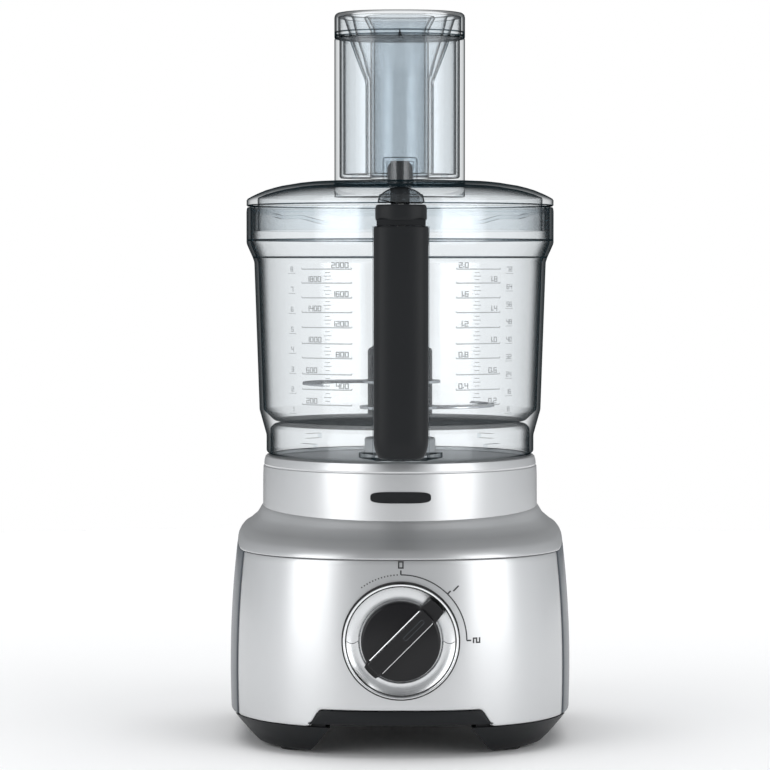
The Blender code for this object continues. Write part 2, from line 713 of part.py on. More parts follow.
def control_board():
    """The circuit board behind the switch, with its capacitors and a heat sink."""
    y = BOARD_Y
    half = BOARD_HALF_WIDTH
    made = block("control_board", (-half, y, TRAY_TOP_Z + GAP), (half, y + 0.0016, BOARD_TOP_Z))
    for i, (x, z, radius, tall) in enumerate(((-0.028, 0.045, 0.006, 0.016), (-0.028, 0.064, 0.005, 0.012))):
        can = turned(f"can_{i}", [(radius, -0.001), (radius, tall)])
        join(made, place(can, location=(x, y + 0.0010, z), rotation=FACING_REAR))
    join(made, block("heat_sink", (0.018, y + 0.0010, 0.040), (0.034, y + 0.0120, 0.075)))
    return made


# ---- drive ----
def chassis():
    """The carrier plate on four legs, with the tall bearing tube of the output shaft."""
    low = (-CHASSIS_HALF_WIDTH, -CHASSIS_FRONT, CHASSIS_Z)
    made = block("chassis", low, (CHASSIS_HALF_WIDTH, CHASSIS_REAR, CHASSIS_Z + CHASSIS_THICKNESS))
    outer = BEARING_RADIUS + GAP + TUBE_WALL
    join(made, turned("bearing_tube", [(outer, CHASSIS_Z - GAP), (outer, BEARING_TUBE_TOP_Z)]))
    for x in (-1, 1):
        for y in (-CHASSIS_FRONT, CHASSIS_REAR - LEG_SIZE):
            start = x * CHASSIS_HALF_WIDTH - (LEG_SIZE if x > 0 else 0)
            leg = block("leg", (start + x * -GAP, y + GAP, TRAY_TOP_Z + GAP),
                        (start + x * -GAP + LEG_SIZE, y + LEG_SIZE - GAP, CHASSIS_Z + CHASSIS_THICKNESS / 2))
            join(made, leg)
    bore = BEARING_RADIUS + GAP
    cut(made, turned("tube_bore", [(bore, 0), (bore, 2 * BEARING_TUBE_TOP_Z)]))
    motor_bore = turned("motor_bore", [(bore, 0), (bore, BEARING_TUBE_TOP_Z)])
    cut(made, place(motor_bore, location=(0, MOTOR_Y, 0)))
    for x, y in motor_screw_places():
        radius = SCREW_RADIUS + GAP
        thread = turned("motor_thread", [(radius, 0), (radius, BEARING_TUBE_TOP_Z)], SMALL)
        cut(made, place(thread, location=(x, y, 0)))
    return made


def motor_screw_places():
    """Where the two long motor screws stand in plan."""
    return [(-MOTOR_SCREW_X, MOTOR_Y), (MOTOR_SCREW_X, MOTOR_Y)]


def bearing(name, shaft_radius, low):
    """A sintered bush in its seat."""
    return ring(name, shaft_radius + BEARING_GAP, BEARING_RADIUS, low, low + BEARING_HEIGHT)


def drive_shaft():
    """The output shaft: round through its bushes, hexagonal where the blade spindle drops over it."""
    made = turned("drive_shaft", [(SHAFT_RADIUS, SHAFT_BOTTOM_Z), (SHAFT_RADIUS, SHAFT_HEX_Z)])
    hexagon = turned("hexagon", [(SHAFT_RADIUS - GAP, SHAFT_HEX_Z - WALL), (SHAFT_RADIUS - GAP, SHAFT_TOP_Z),
                                 (SHAFT_RADIUS - 0.001, SHAFT_TOP_Z + 0.001)], 6)
    return join(made, hexagon)


def driven_pulley():
    """The large pulley: rim, web and hub in one turned section."""
    top, hub = PULLEY_Z + PULLEY_WIDTH, SHAFT_RADIUS + GAP
    profile = [(DRIVEN_RADIUS, PULLEY_Z), (DRIVEN_RADIUS, top), (DRIVEN_RADIUS - 0.003, top),
               (DRIVEN_RADIUS - 0.003, PULLEY_Z + 0.006), (hub + 0.004, PULLEY_Z + 0.006),
               (hub + 0.004, top + 0.002), (hub, top + 0.002), (hub, PULLEY_Z),
               (hub + 0.004, PULLEY_Z), (hub + 0.004, PULLEY_Z + 0.003),
               (DRIVEN_RADIUS - 0.003, PULLEY_Z + 0.003), (DRIVEN_RADIUS - 0.003, PULLEY_Z)]
    return turned("driven_pulley", profile, closed=True)


def motor_pulley():
    """The small pulley on the motor's shaft."""
    bore = MOTOR_SHAFT_RADIUS + GAP
    return ring("motor_pulley", bore, DRIVER_RADIUS, PULLEY_Z, PULLEY_Z + PULLEY_WIDTH)


def belt_outline(offset):
    """The belt's line round both pulleys, at a distance from them."""
    lean = math.asin((DRIVEN_RADIUS - DRIVER_RADIUS) / MOTOR_Y)
    points = []
    for centre, radius, start, stop, steps in (
        (0, DRIVEN_RADIUS, math.pi - lean, WHOLE_TURN + lean, 24),
        (MOTOR_Y, DRIVER_RADIUS, lean, math.pi - lean, 8),
    ):
        for i in range(steps + 1):
            angle = start + (stop - start) * i / steps
            reach = radius + offset
            points.append((reach * math.cos(angle), centre + reach * math.sin(angle)))
    return points


def drive_belt():
    """The flat belt round the pulleys."""
    low, high = PULLEY_Z + 0.0005, PULLEY_Z + 0.0005 + BELT_WIDTH
    inner, outer = belt_outline(GAP), belt_outline(GAP + BELT_THICKNESS)
    rings = [at_height(outer, low), at_height(outer, high), at_height(inner, high), at_height(inner, low)]
    return loft("drive_belt", rings, closed=True)


# ---- motor, about its own axis ----
def stator_core():
    """The laminated ring with the long screws' holes."""
    made = ring("stator_core", STATOR_BORE, STATOR_RADIUS, STATOR_Z, STATOR_Z + STATOR_HEIGHT)
    for x in (-MOTOR_SCREW_X, MOTOR_SCREW_X):
        hole = turned("stator_hole", [(SCREW_RADIUS + GAP, 0), (SCREW_RADIUS + GAP, BRIDGE_Z)], SMALL)
        cut(made, place(hole, location=(x, 0, 0)))
    return made


def winding(name, low):
    """One end of the field winding."""
    return ring(name, STATOR_BORE + GAP, STATOR_BORE + GAP + WINDING_THICKNESS, low, low + WINDING_HEIGHT)


def armature():
    """Shaft, laminated core and commutator in one turned body."""
    shaft, core = MOTOR_SHAFT_RADIUS, STATOR_BORE - AIR_GAP
    low, high = STATOR_Z + 0.002, STATOR_Z + STATOR_HEIGHT - 0.002
    return turned("armature", [
        (shaft, SHAFT_BOTTOM_Z), (shaft, low - 0.005), (core * 0.7, low - 0.003), (core, low), (core, high),
        (core * 0.7, high + 0.003), (shaft + 0.002, high + 0.005), (shaft + 0.002, COMMUTATOR_Z),
        (COMMUTATOR_RADIUS, COMMUTATOR_Z), (COMMUTATOR_RADIUS, COMMUTATOR_Z + COMMUTATOR_HEIGHT),
        (shaft, COMMUTATOR_Z + COMMUTATOR_HEIGHT), (shaft, ARMATURE_TOP_Z),
    ])


def motor_bridge():
    """The upper bearing bridge on two posts, with lugs that hold the brushes."""
    half = MOTOR_SCREW_X + POST_RADIUS
    top = BRIDGE_Z + BRIDGE_THICKNESS
    made = block("motor_bridge", (-half, -BRIDGE_HALF_DEPTH, BRIDGE_Z), (half, BRIDGE_HALF_DEPTH, top))
    for x in (-1, 1):
        foot = STATOR_Z + STATOR_HEIGHT + GAP
        post = turned("post", [(POST_RADIUS, foot), (POST_RADIUS, BRIDGE_Z + WALL)], SMALL)
        join(made, place(post, location=(x * MOTOR_SCREW_X, 0, 0)))
        near, far = sorted((x * LUG_NEAR, x * LUG_FAR))
        low = BRUSH_Z - GAP - LUG_FLOOR
        half_depth = BRUSH_HALF_DEPTH + WALL
        join(made, block("lug", (near, -half_depth, low), (far, half_depth, BRIDGE_Z + WALL)))
    window = BRUSH_HALF_DEPTH + GAP
    low, high = BRUSH_Z - GAP, BRUSH_Z + BRUSH_HEIGHT + GAP
    cut(made, block("brush_window", (-LUG_FAR - GAP, -window, low), (LUG_FAR + GAP, window, high)))
    bore = BEARING_RADIUS + GAP
    cut(made, turned("bridge_bore", [(bore, BRIDGE_Z - WALL), (bore, top + WALL)]))
    for x in (-MOTOR_SCREW_X, MOTOR_SCREW_X):
        radius = SCREW_RADIUS + GAP
        hole = turned("bridge_hole", [(radius, STATOR_Z), (radius, top + WALL)], SMALL)
        cut(made, place(hole, location=(x, 0, 0)))
    return made


def brush(name, side):
    """A carbon brush against the commutator."""
    near, far = sorted((side * (COMMUTATOR_RADIUS + GAP), side * LUG_FAR))
    return block(name, (near, -BRUSH_HALF_DEPTH, BRUSH_Z), (far, BRUSH_HALF_DEPTH, BRUSH_Z + BRUSH_HEIGHT))


def motor_fan():
    """A flat radial fan on the top of the armature's shaft."""
    bore = MOTOR_SHAFT_RADIUS + GAP
    hub, top = bore + 0.004, FAN_Z + FAN_HEIGHT
    made = turned("motor_fan", [
        (FAN_RADIUS, FAN_Z), (FAN_RADIUS, FAN_Z + FAN_DISC), (hub, FAN_Z + FAN_DISC), (hub, top),
        (bore, top), (bore, FAN_Z),
    ], closed=True)
    half = VANE_THICKNESS / 2
    for i in range(FAN_BLADES):
        low = (bore + 0.003, -half, FAN_Z + FAN_DISC / 2)
        vane = block("vane", low, (FAN_RADIUS - GAP, half, top - GAP))
        join(made, place(vane, rotation=(0, 0, WHOLE_TURN * (i + 0.5) / FAN_BLADES)))
    return made


def interlock_switch():
    """The sealed reed switch in the front of the neck, behind the handle's magnet."""
    front = NECK_RADIUS - 2 * WALL
    return block("interlock_switch", (-0.008, -front, 0.152), (0.008, 0.007 - front, 0.165))


def shaft_seal():
    """The lip seal in the deck's collar."""
    inner = SHAFT_RADIUS + BEARING_GAP
    low, high = COLLAR_TOP_Z - 0.006, COLLAR_TOP_Z - 0.001
    return turned("shaft_seal", [(BEARING_RADIUS, low), (BEARING_RADIUS, high), (inner, high),
                                 (inner, high - 0.001), (inner + 0.0015, low)], closed=True)


# ---- bowl ----
def bowl():
    """The clear bowl: foot ring, stepped rim, centre tube, bayonet tabs and the handle's clear core."""
    w = CLEAR_WALL
    low = NECK_TOP_Z + GAP
    inside_rim = BOWL_RIM_RADIUS - CLEAR_WALL
    outside = [
        (BOWL_FOOT_RADIUS - 0.0019, low), (BOWL_FOOT_RADIUS, low + 0.0016),
        (BOWL_FOOT_RADIUS, BOWL_FOOT_TOP_Z),
        (BOWL_LOWER_RADIUS, BOWL_LOWER_Z), (BOWL_UPPER_RADIUS, BOWL_UPPER_Z),
        (BOWL_RIM_RADIUS, BOWL_SHOULDER_Z), (BOWL_RIM_RADIUS, BOWL_TOP_Z),
    ]
    inside = [
        (inside_rim, BOWL_TOP_Z), (inside_rim, BOWL_SHOULDER_Z), (BOWL_UPPER_RADIUS - w, BOWL_UPPER_Z),
        (BOWL_LOWER_RADIUS - w, BOWL_LOWER_Z), (BOWL_FOOT_RADIUS - 2 * w, BOWL_FLOOR_Z),
        (TUBE_OUTER_RADIUS + w, BOWL_FLOOR_Z), (TUBE_OUTER_RADIUS, BOWL_FLOOR_Z + w),
        (TUBE_OUTER_RADIUS, TUBE_TOP_Z), (TUBE_INNER_RADIUS, TUBE_TOP_Z),
        (TUBE_INNER_RADIUS, BOWL_FLOOR_Z - w), (BOWL_FOOT_RADIUS - 2 * w, BOWL_FLOOR_Z - w),
        (BOWL_FOOT_RADIUS - w, BOWL_FLOOR_Z - 2 * w), (BOWL_FOOT_RADIUS - w, low),
    ]
    made = turned("bowl", outside + inside, LARGE, closed=True)
    for i in range(BAYONET_TABS):
        angle = WHOLE_TURN * (i + 0.5) / BAYONET_TABS
        near, far = BOWL_FOOT_RADIUS - w - TAB_DEPTH, BOWL_FOOT_RADIUS - w / 2
        tab = block("bayonet_tab", (near, -TAB_LENGTH / 2, low + 0.006), (far, TAB_LENGTH / 2, low + 0.009))
        join(made, place(tab, rotation=(0, 0, angle)))
    for shape in handle_core():
        join(made, shape)
    for x in (-HANDLE_SCREW_X, HANDLE_SCREW_X):
        back = HANDLE_FRONT - GRIP_DEPTH - CORE_THICKNESS
        wide, narrow = SCREW_HEAD_RADIUS + GAP, SCREW_RADIUS + GAP
        seat = SCREW_HEAD_RADIUS / 2 + GAP
        profile = [(wide, -0.002), (wide, seat), (narrow, seat), (narrow, GRIP_DEPTH)]
        bore = turned("core_bore", profile, SMALL)
        cut(made, place(bore, location=(x, -back, HANDLE_SCREW_Z), rotation=FACING_FRONT))
    return made


def handle_core():
    """The clear core: two arms from the bowl, the bar behind the grip and the flared foot."""
    front = -(HANDLE_FRONT - GRIP_DEPTH - GAP)
    back = front + CORE_THICKNESS
    half = CORE_HALF_WIDTH
    low, high = GRIP_BOTTOM_Z + GAP, GRIP_TOP_Z
    foot = [(-half * 1.5, -BOWL_FOOT_RADIUS * 0.97), (half * 1.5, -BOWL_FOOT_RADIUS * 0.97),
            (half * 0.9, back - CORE_THICKNESS / 2), (-half * 0.9, back - CORE_THICKNESS / 2)]
    return [
        block("core_bar", (-half, front, low), (half, back, high)),
        block("core_top", (-half + GAP, back - GAP, high - ARM_HEIGHT),
              (half - GAP, -BOWL_RIM_RADIUS + CLEAR_WALL / 2, high - GAP)),
        block("core_foot", (-half * 0.85, back - GAP, low + GAP),
              (half * 0.85, -BOWL_FOOT_RADIUS + 0.0015, low + ARM_HEIGHT)),
        prism("core_flare", foot, low - 0.0020, low + 0.0010),
    ]


def grip_outline(scale):
    """The grip's section: flat behind, rounded in front."""
    half, back = GRIP_HALF_WIDTH, HANDLE_FRONT - GRIP_DEPTH
    points = [(half * scale, -back)]
    for i in range(GRIP_STEPS + 1):
        x, y = oval_point(half, GRIP_DEPTH - 0.004, 1, 2.4, 2, -math.pi * i / GRIP_STEPS)
        points.append((x * scale, -back - (0.004 - y) * scale))
    points.append((-half * scale, -back))
    return points


def handle_grip():
    """The charcoal grip with the channel of the safety rod in its back."""
    levels = ((0.80, 0.0), (0.93, 0.0020), (1.0, 0.0060))
    rings = [at_height(grip_outline(scale), GRIP_BOTTOM_Z + rise) for scale, rise in levels]
    rings.append(at_height(grip_outline(1.0), GRIP_TOP_Z))
    made = loft("handle_grip", rings)
    back = -(HANDLE_FRONT - GRIP_DEPTH)
    for half, low, high in (
        (ROD_CHANNEL, GRIP_BOTTOM_Z + 0.0026, MAGNET_TOP_Z + ROD_TRAVEL + 0.002),
        (ROD_RADIUS + 2 * GAP, GRIP_BOTTOM_Z + 0.0030, GRIP_TOP_Z),
        (ROD_CHANNEL, SPRING_BOTTOM_Z - GAP, GRIP_TOP_Z + WALL),
    ):
        cut(made, block("channel", (-half, back - ROD_CHANNEL - half, low), (half, back + 0.002, high)))
    for x in (-HANDLE_SCREW_X, HANDLE_SCREW_X):
        radius = SCREW_RADIUS + GAP
        bore = turned("grip_bore", [(radius, -0.002), (radius, GRIP_DEPTH - 0.0035)], SMALL)
        cut(made, place(bore, location=(x, back, HANDLE_SCREW_Z), rotation=FACING_FRONT))
    return made


def handle_cap():
    """The cap over the handle's top, on a narrower neck, with the rod's hole."""
    back, front = -(BOWL_RIM_RADIUS + 2 * GAP), -(HANDLE_FRONT - 0.001)
    half = CAP_HALF_WIDTH
    neck = block("handle_cap", (-half + 0.002, front + 0.002, GRIP_TOP_Z + GAP),
                 (half - 0.002, back - GAP, CAP_BOTTOM_Z + GAP))
    plan = [(-half, back), (half, back), (half, front + 0.006), (half - 0.004, front + 0.001),
            (half - 0.009, front), (-half + 0.009, front), (-half + 0.004, front + 0.001),
            (-half, front + 0.006)]
    middle = (back + front) / 2
    crown = [(x * 0.93, middle + (y - middle) * 0.97) for x, y in plan]
    rings = [at_height(plan, CAP_BOTTOM_Z), at_height(plan, CAP_TOP_Z - 0.002), at_height(crown, CAP_TOP_Z)]
    join(neck, loft("crown", rings))
    radius = ROD_RADIUS + GAP
    hole = turned("rod_hole", [(radius, GRIP_TOP_Z - WALL), (radius, CAP_TOP_Z + WALL)], SMALL)
    return cut(neck, place(hole, location=(0, ROD_Y, 0)))


def interlock_rod():
    """The rod that the lid's tab presses down, with the collar its spring bears on."""
    radius = ROD_RADIUS
    return turned("interlock_rod", [
        (radius, MAGNET_TOP_Z + GAP), (radius, COLLAR_Z), (radius * 1.5, COLLAR_Z),
        (radius * 1.5, COLLAR_Z + 0.0025), (radius, COLLAR_Z + 0.0025),
        (radius, CAP_TOP_Z - 0.0010), (radius * 0.7, CAP_TOP_Z + GAP),
    ], SMALL)


def interlock_magnet():
    """The magnet at the rod's lower end."""
    profile = [(MAGNET_RADIUS, MAGNET_TOP_Z - MAGNET_HEIGHT), (MAGNET_RADIUS, MAGNET_TOP_Z)]
    return turned("interlock_magnet", profile, SMALL)


def interlock_spring():
    """The coil spring under the rod's collar, swept along its helix."""
    curve = bpy.data.curves.new("interlock_spring_path", "CURVE")
    curve.dimensions = "3D"
    curve.bevel_depth = SPRING_WIRE_RADIUS
    curve.bevel_resolution = 0
    curve.use_fill_caps = True
    steps = SPRING_TURNS * SPRING_STEPS
    path = curve.splines.new("POLY")
    path.points.add(steps)
    low = SPRING_BOTTOM_Z + SPRING_WIRE_RADIUS
    high = COLLAR_Z - GAP - SPRING_WIRE_RADIUS
    for i in range(steps + 1):
        angle = WHOLE_TURN * i / SPRING_STEPS
        z = low + (high - low) * i / steps
        path.points[i].co = (SPRING_RADIUS * math.cos(angle), SPRING_RADIUS * math.sin(angle), z, 1)
    made = bpy.data.objects.new("interlock_spring", curve)
    bpy.context.scene.collection.objects.link(made)
    made.parent = APPLIANCE
    return made


# ---- lid ----
LID_DOME = ((0.0942, 0.3318), (0.0884, 0.3348), (0.0781, 0.3385), (0.0684, 0.3405))


def lid():
    """The clear lid: dome, skirt, centre boss, latch tab over the handle and the oval feed chute."""
    w = CLEAR_WALL
    under = [(r - w / 4, z - w) for r, z in reversed(LID_DOME[1:])]
    profile = [(BOSS_RADIUS - w, BOSS_TOP_Z - w), (BOSS_RADIUS - w, LID_TOP_Z - w),
               (LID_FLAT_RADIUS, LID_TOP_Z - w)]
    profile += under
    profile += [
        (SKIRT_RADIUS - w, LID_RIM_TOP_Z), (SKIRT_RADIUS - w, SKIRT_BOTTOM_Z), (SKIRT_RADIUS, SKIRT_BOTTOM_Z),
        (SKIRT_RADIUS, BOWL_TOP_Z + 2 * GAP), (LID_RADIUS, BOWL_TOP_Z + 2 * GAP), (LID_RADIUS, LID_RIM_TOP_Z),
    ]
    profile += [*LID_DOME, (LID_FLAT_RADIUS, LID_TOP_Z), (BOSS_RADIUS, LID_TOP_Z),
                (BOSS_RADIUS, BOSS_TOP_Z - 0.001), (BOSS_RADIUS - 0.001, BOSS_TOP_Z)]
    made = turned("lid", profile, LARGE)
    join(made, latch_tab())
    chute = prism("chute", chute_outline(0), LID_RIM_TOP_Z + 0.0025, CHUTE_TOP_Z)
    join(made, place(chute, location=(0, CHUTE_Y, 0)))
    throat = prism("throat", chute_outline(w), SKIRT_BOTTOM_Z, 2 * CHUTE_TOP_Z)
    return cut(made, place(throat, location=(0, CHUTE_Y, 0)))


def chute_outline(inset):
    """The chute's oval plan about its own middle."""
    deep = CHUTE_HALF_DEPTH - inset
    return oval(CHUTE_HALF_WIDTH - inset, deep, deep, CHUTE_ROUND)


def latch_tab():
    """The tab that presses the safety rod, with a ramp under its leading side."""
    low, high = CAP_TOP_Z + 3 * GAP, TAB_TOP_Z
    near, far = -(BOWL_RIM_RADIUS - 0.002), -TAB_REACH
    section = [(-TAB_HALF_WIDTH, low + TAB_RAMP), (-ROD_RADIUS, low), (TAB_HALF_WIDTH, low),
               (TAB_HALF_WIDTH, high - 0.001), (TAB_HALF_WIDTH - 0.001, high),
               (-TAB_HALF_WIDTH + 0.001, high), (-TAB_HALF_WIDTH, high - 0.001)]
    return loft("latch_tab", [[(x, y, z) for x, z in section] for y in (near, far)])


def lid_seal():
    """The soft ring between the lid's skirt and the bowl's rim."""
    outer = BOWL_RIM_RADIUS - CLEAR_WALL - 0.0005
    low = BOWL_TOP_Z - 0.001 - SEAL_HEIGHT
    return ring("lid_seal", SKIRT_RADIUS + GAP, outer, low, low + SEAL_HEIGHT, LARGE)


# ---- pushers, about the chute's axis ----
def tier(half_width, half_depth, z, power=CHUTE_ROUND):
    """One oval ring of the large pusher."""
    return at_height(oval(half_width, half_depth, half_depth, power), z)


def pusher_large():
    """The hollow oval pusher with its overhanging cap and the funnel down to the small feed tube."""
    width, depth = CHUTE_HALF_WIDTH - CLEAR_WALL - SLIDE_GAP, CHUTE_HALF_DEPTH - CLEAR_WALL - SLIDE_GAP
    brim_width, brim_depth = CHUTE_HALF_WIDTH, CHUTE_HALF_DEPTH
    seat, top, bottom = CHUTE_TOP_Z + GAP, CAP_RING_TOP_Z, PUSHER_BOTTOM_Z
    throat_width, throat_depth = FUNNEL_TOP_HALF_WIDTH, FUNNEL_TOP_HALF_DEPTH
    made = loft("pusher_large", [
        tier(width, depth, bottom), tier(width, depth, seat), tier(brim_width, brim_depth, seat),
        tier(brim_width, brim_depth, top - 0.002), tier(brim_width - 0.0012, brim_depth - 0.0012, top),
        tier(throat_width + 0.003, throat_depth + 0.003, top), tier(throat_width, throat_depth, top - 0.003),
        tier(FEED_RADIUS, FEED_RADIUS, FUNNEL_BOTTOM_Z, 2), tier(FEED_RADIUS, FEED_RADIUS, bottom, 2),
    ], closed=True)
    w = CLEAR_WALL
    outer, tube = (width - w, depth - w), FEED_RADIUS + PLUG_WALL
    cavity = loft("pusher_cavity", [
        tier(*outer, bottom + w), tier(*outer, seat - w), tier(brim_width - w, brim_depth - w, seat + w),
        tier(brim_width - w, brim_depth - w, top - w),
        tier(throat_width + 0.0055, throat_depth + 0.0055, top - w),
        tier(throat_width + 0.002, throat_depth + 0.002, seat + w),
        tier(tube, tube, FUNNEL_BOTTOM_Z, 2), tier(tube, tube, bottom + w, 2),
    ], closed=True)
    cut(made, cavity)
    for x in (-1, 1):
        middle = x * (width - w + tube) / 2
        vent = turned("pusher_vent", [(VENT_RADIUS, bottom - w), (VENT_RADIUS, bottom + 2 * w)], SMALL)
        cut(made, place(vent, location=(middle, 0, 0)))
    return made


def pusher_small():
    """The round inner pusher, a measuring cup open at its flared top."""
    radius, wall = FEED_RADIUS - SLIDE_GAP / 2, PLUG_WALL
    low, high = PUSHER_BOTTOM_Z + 0.001, PLUG_TOP_Z
    return turned("pusher_small", [
        (radius, low), (radius, high - 0.009), (PLUG_FLARE_RADIUS, high - 0.001), (PLUG_FLARE_RADIUS, high),
        (PLUG_FLARE_RADIUS - wall, high), (radius - wall, high - 0.008), (radius - wall, low + wall),
    ], 32)


# ---- blade set ----
def spindle():
    """The stem that drops over the output shaft: socket, hexagonal drive and a tip in the lid's boss."""
    made = turned("spindle", [(SPINDLE_RADIUS, BOWL_FLOOR_Z), (SPINDLE_RADIUS, TUBE_TOP_Z - 0.002),
                              (SPINDLE_HEX_RADIUS, TUBE_TOP_Z)])
    profile = [(SPINDLE_HEX_RADIUS, TUBE_TOP_Z - WALL), (SPINDLE_HEX_RADIUS, HUB_TOP_Z - GAP)]
    join(made, turned("spindle_hexagon", profile, 6))
    join(made, turned("spindle_stem", [
        (SPINDLE_STEM_RADIUS, HUB_TOP_Z - WALL), (SPINDLE_STEM_RADIUS, LID_TOP_Z - 0.004),
        (SPINDLE_TIP_RADIUS, LID_TOP_Z - 0.002), (SPINDLE_TIP_RADIUS, SPINDLE_TIP_Z - 0.003),
        (SPINDLE_TIP_RADIUS * 0.7, SPINDLE_TIP_Z)]))
    radius = SHAFT_RADIUS + 2 * GAP
    socket = turned("socket", [(radius, BOWL_FLOOR_Z - WALL), (radius, SHAFT_TOP_Z + 0.0015)], 6)
    return cut(made, socket)


def blade_hub():
    """The sleeve over the bowl's tube, keyed to the spindle by its hexagonal bore."""
    bore, sleeve = SPINDLE_HEX_RADIUS * 0.8, TUBE_OUTER_RADIUS + SLIDE_GAP
    profile = [
        (HUB_RADIUS, HUB_BOTTOM_Z), (HUB_RADIUS, HUB_SHOULDER_Z - 0.002),
        (HUB_RADIUS - 0.002, HUB_SHOULDER_Z),
        (HUB_NECK_RADIUS, HUB_SHOULDER_Z + 0.004), (HUB_NECK_RADIUS, HUB_TOP_Z), (bore, HUB_TOP_Z),
        (bore, TUBE_TOP_Z + 0.0015), (sleeve, TUBE_TOP_Z + 0.0015), (sleeve, HUB_BOTTOM_Z),
    ]
    made = turned("blade_hub", profile, closed=True)
    key = SPINDLE_HEX_RADIUS + 2 * GAP
    return cut(made, turned("hub_key", [(key, TUBE_TOP_Z), (key, 2 * HUB_TOP_Z)], 6))


def blade(name, z, turn):
    """A curved knife: a collar round the hub and one crescent arm with a ground edge."""
    made = ring(name, HUB_RADIUS + GAP, HUB_RADIUS + 0.005, z, z + BLADE_THICKNESS)
    root = HUB_RADIUS + 0.0045
    leading, trailing = [], []
    for i in range(BLADE_STEPS + 1):
        t = i / BLADE_STEPS
        radius = root + (BLADE_REACH - root) * t
        angle = turn + BLADE_SWEEP * t * t
        half = BLADE_HALF_WIDTH * (1 - 0.9 * t ** 3)
        for side, points in ((1, leading), (-1, trailing)):
            lean = angle + side * half / radius
            points.append((radius * math.cos(lean), radius * math.sin(lean)))
    outline = leading + trailing[::-1]
    return join(made, prism("arm", outline, z, z + BLADE_THICKNESS))


def hub_cap():
    """The snap ring on top of the hub."""
    inner, outer = SPINDLE_TIP_RADIUS + 2 * GAP, HUB_NECK_RADIUS + 0.001
    return ring("hub_cap", inner, outer, HUB_TOP_Z + GAP, HUB_TOP_Z + HUB_CAP_HEIGHT)


# ---- assembly ----
def build_casing():
    """The motor base's outside."""
    dress(top_housing(), "silver")
    dress(front_fascia(), "silver")
    dress(rear_housing(), "slate")
    dress(base_plate(), "charcoal")
    dress(badge(), "charcoal")
    dress(cord_gland(), "rubber")
    corners = [(side, end) for end in (-1, 1) for side in (-1, 1)]
    for i, (side, end) in enumerate(corners, start=1):
        dress(foot_pad(f"foot_pad_{i}", side, end), "rubber")
    for i, (x, y) in enumerate(base_screw_places(), start=1):
        made = screw(f"base_screw_{i}", BASE_SCREW_LENGTH)
        dress(made, "steel", location=(x, y, TRAY_BOTTOM_Z - GAP))


def build_dial():
    """The speed dial, its switch and the electronics behind it."""
    turn = (math.pi / 2, DIAL_REST_ANGLE, 0)
    dress(dial_bezel(), "satin_silver", DIAL_AXIS, rotation=FACING_FRONT)
    dress(speed_switch(), "black", DIAL_AXIS, rotation=FACING_FRONT)
    dress(dial_knob(), "black", DIAL_AXIS, rotation=turn)
    dress(dial_shaft(), "nylon", DIAL_AXIS, rotation=turn)
    dress(control_board(), "board")
    dress(interlock_switch(), "black")


def build_drive():
    """Shafts, bushes, pulleys and belt."""
    dress(chassis(), "aluminium")
    dress(bearing("bearing_lower", SHAFT_RADIUS, CHASSIS_Z - 0.002), "steel")
    dress(bearing("bearing_upper", SHAFT_RADIUS, BEARING_TUBE_TOP_Z - BEARING_HEIGHT), "steel")
    dress(shaft_seal(), "rubber")
    dress(drive_shaft(), "steel")
    dress(driven_pulley(), "nylon")
    dress(drive_belt(), "rubber")


def build_motor():
    """The universal motor."""
    dress(stator_core(), "laminations", MOTOR_AXIS)
    dress(winding("winding_lower", STATOR_Z - GAP - WINDING_HEIGHT), "copper", MOTOR_AXIS)
    dress(winding("winding_upper", STATOR_Z + STATOR_HEIGHT + GAP), "copper", MOTOR_AXIS)
    dress(armature(), "laminations", MOTOR_AXIS)
    dress(motor_pulley(), "steel", MOTOR_AXIS)
    dress(motor_fan(), "nylon", MOTOR_AXIS)
    dress(motor_bridge(), "aluminium", MOTOR_AXIS)
    dress(bearing("motor_bearing_lower", MOTOR_SHAFT_RADIUS, CHASSIS_Z - 0.002), "steel", MOTOR_AXIS)
    dress(bearing("motor_bearing_upper", MOTOR_SHAFT_RADIUS, BRIDGE_Z - 0.0012), "steel", MOTOR_AXIS)
    dress(brush("brush_left", -1), "carbon", MOTOR_AXIS)
    dress(brush("brush_right", 1), "carbon", MOTOR_AXIS)
    head_z = BRIDGE_Z + BRIDGE_THICKNESS + GAP + SCREW_HEAD_RADIUS / 2
    for i, (x, y) in enumerate(motor_screw_places(), start=1):
        made = screw(f"motor_screw_{i}", head_z - CHASSIS_Z - SCREW_HEAD_RADIUS / 2)
        dress(made, "steel", location=(x, y, head_z), rotation=(math.pi, 0, 0))


def build_bowl():
    """The bowl with its handle and the safety rod."""
    dress(bowl(), "clear")
    low, high = BOWL_FLOOR_Z - 0.002, BOWL_FLOOR_Z + 0.008
    dress(ring("tube_bush", SPINDLE_RADIUS + GAP, TUBE_INNER_RADIUS - GAP, low, high), "nylon")
    dress(handle_grip(), "charcoal")
    dress(handle_cap(), "charcoal")
    rod_axis = empty("rod_axis", APPLIANCE, (0, ROD_Y, 0))
    dress(interlock_rod(), "nylon", rod_axis)
    dress(interlock_magnet(), "steel", rod_axis)
    dress(interlock_spring(), "steel", rod_axis)
    for name, x in (("handle_screw_left", -HANDLE_SCREW_X), ("handle_screw_right", HANDLE_SCREW_X)):
        y = -(HANDLE_FRONT - GRIP_DEPTH - CORE_THICKNESS)
        dress(screw(name, 0.0100), "steel", location=(x, y, HANDLE_SCREW_Z), rotation=FACING_FRONT)


def build_lid():
    """The lid and the two pushers."""
    dress(lid(), "clear")
    dress(lid_seal(), "rubber")
    chute_axis = empty("chute_axis", APPLIANCE, (0, CHUTE_Y, 0))
    dress(pusher_large(), "clear", chute_axis)
    dress(pusher_small(), "clear", chute_axis)


